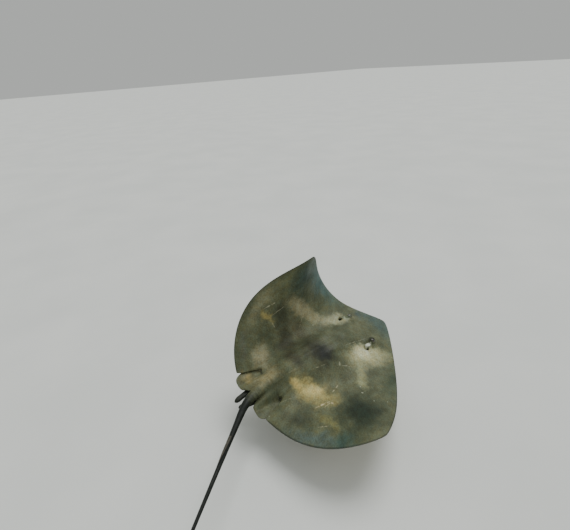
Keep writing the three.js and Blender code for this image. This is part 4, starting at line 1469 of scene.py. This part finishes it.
eye_of_the_ray = eye_finish()
for ball in eyeballs:
    give(ball, eye_of_the_ray)
give(sting, sting_finish())
print("materials:", [thing.data.materials[0].name for thing in (eyeballs[0], sting)])

# %% [markdown]
# ## Finishes of the stand
# The base is cast metal with a satin grey paint, the rods are brushed steel, and felt
# covers the pads so that they do not mark the cast of the belly.

# %% Stand materials
def clouded(name, cloud, ends, colours, grain, bump, roughness):
    """A surface with slow clouds of two colours and a fine grain in its relief."""
    finish = Finish(name)
    place = finish.place()
    clouds = finish.noise(place, *cloud)
    finish.surface_is(Base_Color=finish.mix(finish.ramp(clouds, *ends), *colours),
                      Normal=finish.bump(finish.noise(place, *grain), *bump),
                      Roughness=finish.ramp(clouds, *USUAL, *roughness))
    return finish


def steel_finish():
    finish = Finish("brushed steel")
    stretched = finish.vector("MULTIPLY", finish.place(), (1, 1, 30))
    lines = finish.noise(stretched, 0.012, 4.0, 0.6)
    finish.surface_is(Base_Color=finish.mix(lines, (150, 152, 152), (188, 189, 188)),
                      Metallic=0.9, Normal=finish.bump(lines, 0.08, 0.1),
                      Roughness=finish.ramp(lines, *USUAL, 0.26, 0.4))
    return finish


def felt_finish():
    finish = Finish("grey felt")
    fluff = finish.noise(finish.place(), 0.0009, 4.0, 0.7)
    finish.surface_is(Base_Color=finish.mix(fluff, (44, 46, 46), (78, 80, 80)),
                      Normal=finish.bump(fluff, 0.5, 0.5),
                      Roughness=finish.ramp(fluff, *USUAL, 0.86, 0.98))
    return finish


satin_paint = clouded("satin paint", (0.07, 4.0, 0.6), USUAL, ((116, 119, 118), (132, 134, 132)),
                      (0.0035, 2.0, 0.5), (0.12, 0.2), (0.42, 0.58))
stand_finishes = dict(stand_paint=satin_paint, stand_steel=steel_finish(), stand_pad=felt_finish())
for thing, _, slot in stand:
    give(thing, stand_finishes[slot])
print("stand materials:", list(stand_finishes))

# %% [markdown]
# ## Floor
# A pale matt floor runs out to the horizon. It stands for the floor of a museum hall
# and carries two very close greys, so that it does not look like plain paper.

# %% Floor
FLOOR_SIDE_M = 60

bpy.ops.mesh.primitive_plane_add(size=FLOOR_SIDE_M)
floor = bpy.context.object
floor.name = "floor"
pale_greys = ((226, 229, 225), (234, 236, 232))
give(floor, clouded("pale floor", (0.35, 3.0, 0.5), (0.25, 0.75), pale_greys,
                    (0.004, 3.0, 0.6), (0.05, 0.2), (0.75, 0.85)))
print("floor:", FLOOR_SIDE_M, "m square")

# %% [markdown]
# ## Light
# One main light is broad and comes from ahead of the animal, so its shadow is soft and
# falls toward the tail. A sun lamp is used because its strength does not change with
# distance. An even pale sky fills the shadows.

# %% Light
SKY = Sizes(colour=(226, 229, 226), strength=0.62)
KEY = Sizes(direction=(0.10, -0.42, 1.0), strength=1.75, angle=math.radians(38))

world = bpy.data.worlds.new("studio")
bpy.context.scene.world = world
world.use_nodes = True
sky = world.node_tree.nodes["Background"].inputs
sky["Color"].default_value = paint(*SKY.colour)
sky["Strength"].default_value = SKY.strength
key = bpy.data.lights.new("key light", "SUN")
key.energy, key.angle = KEY.strength, KEY.angle
key_light = bpy.data.objects.new("key light", key)
bpy.context.scene.collection.objects.link(key_light)
key_light.rotation_euler = Vector(KEY.direction).to_track_quat("Z", "Y").to_euler()
print("key light:", KEY.strength, "sky:", SKY.strength)
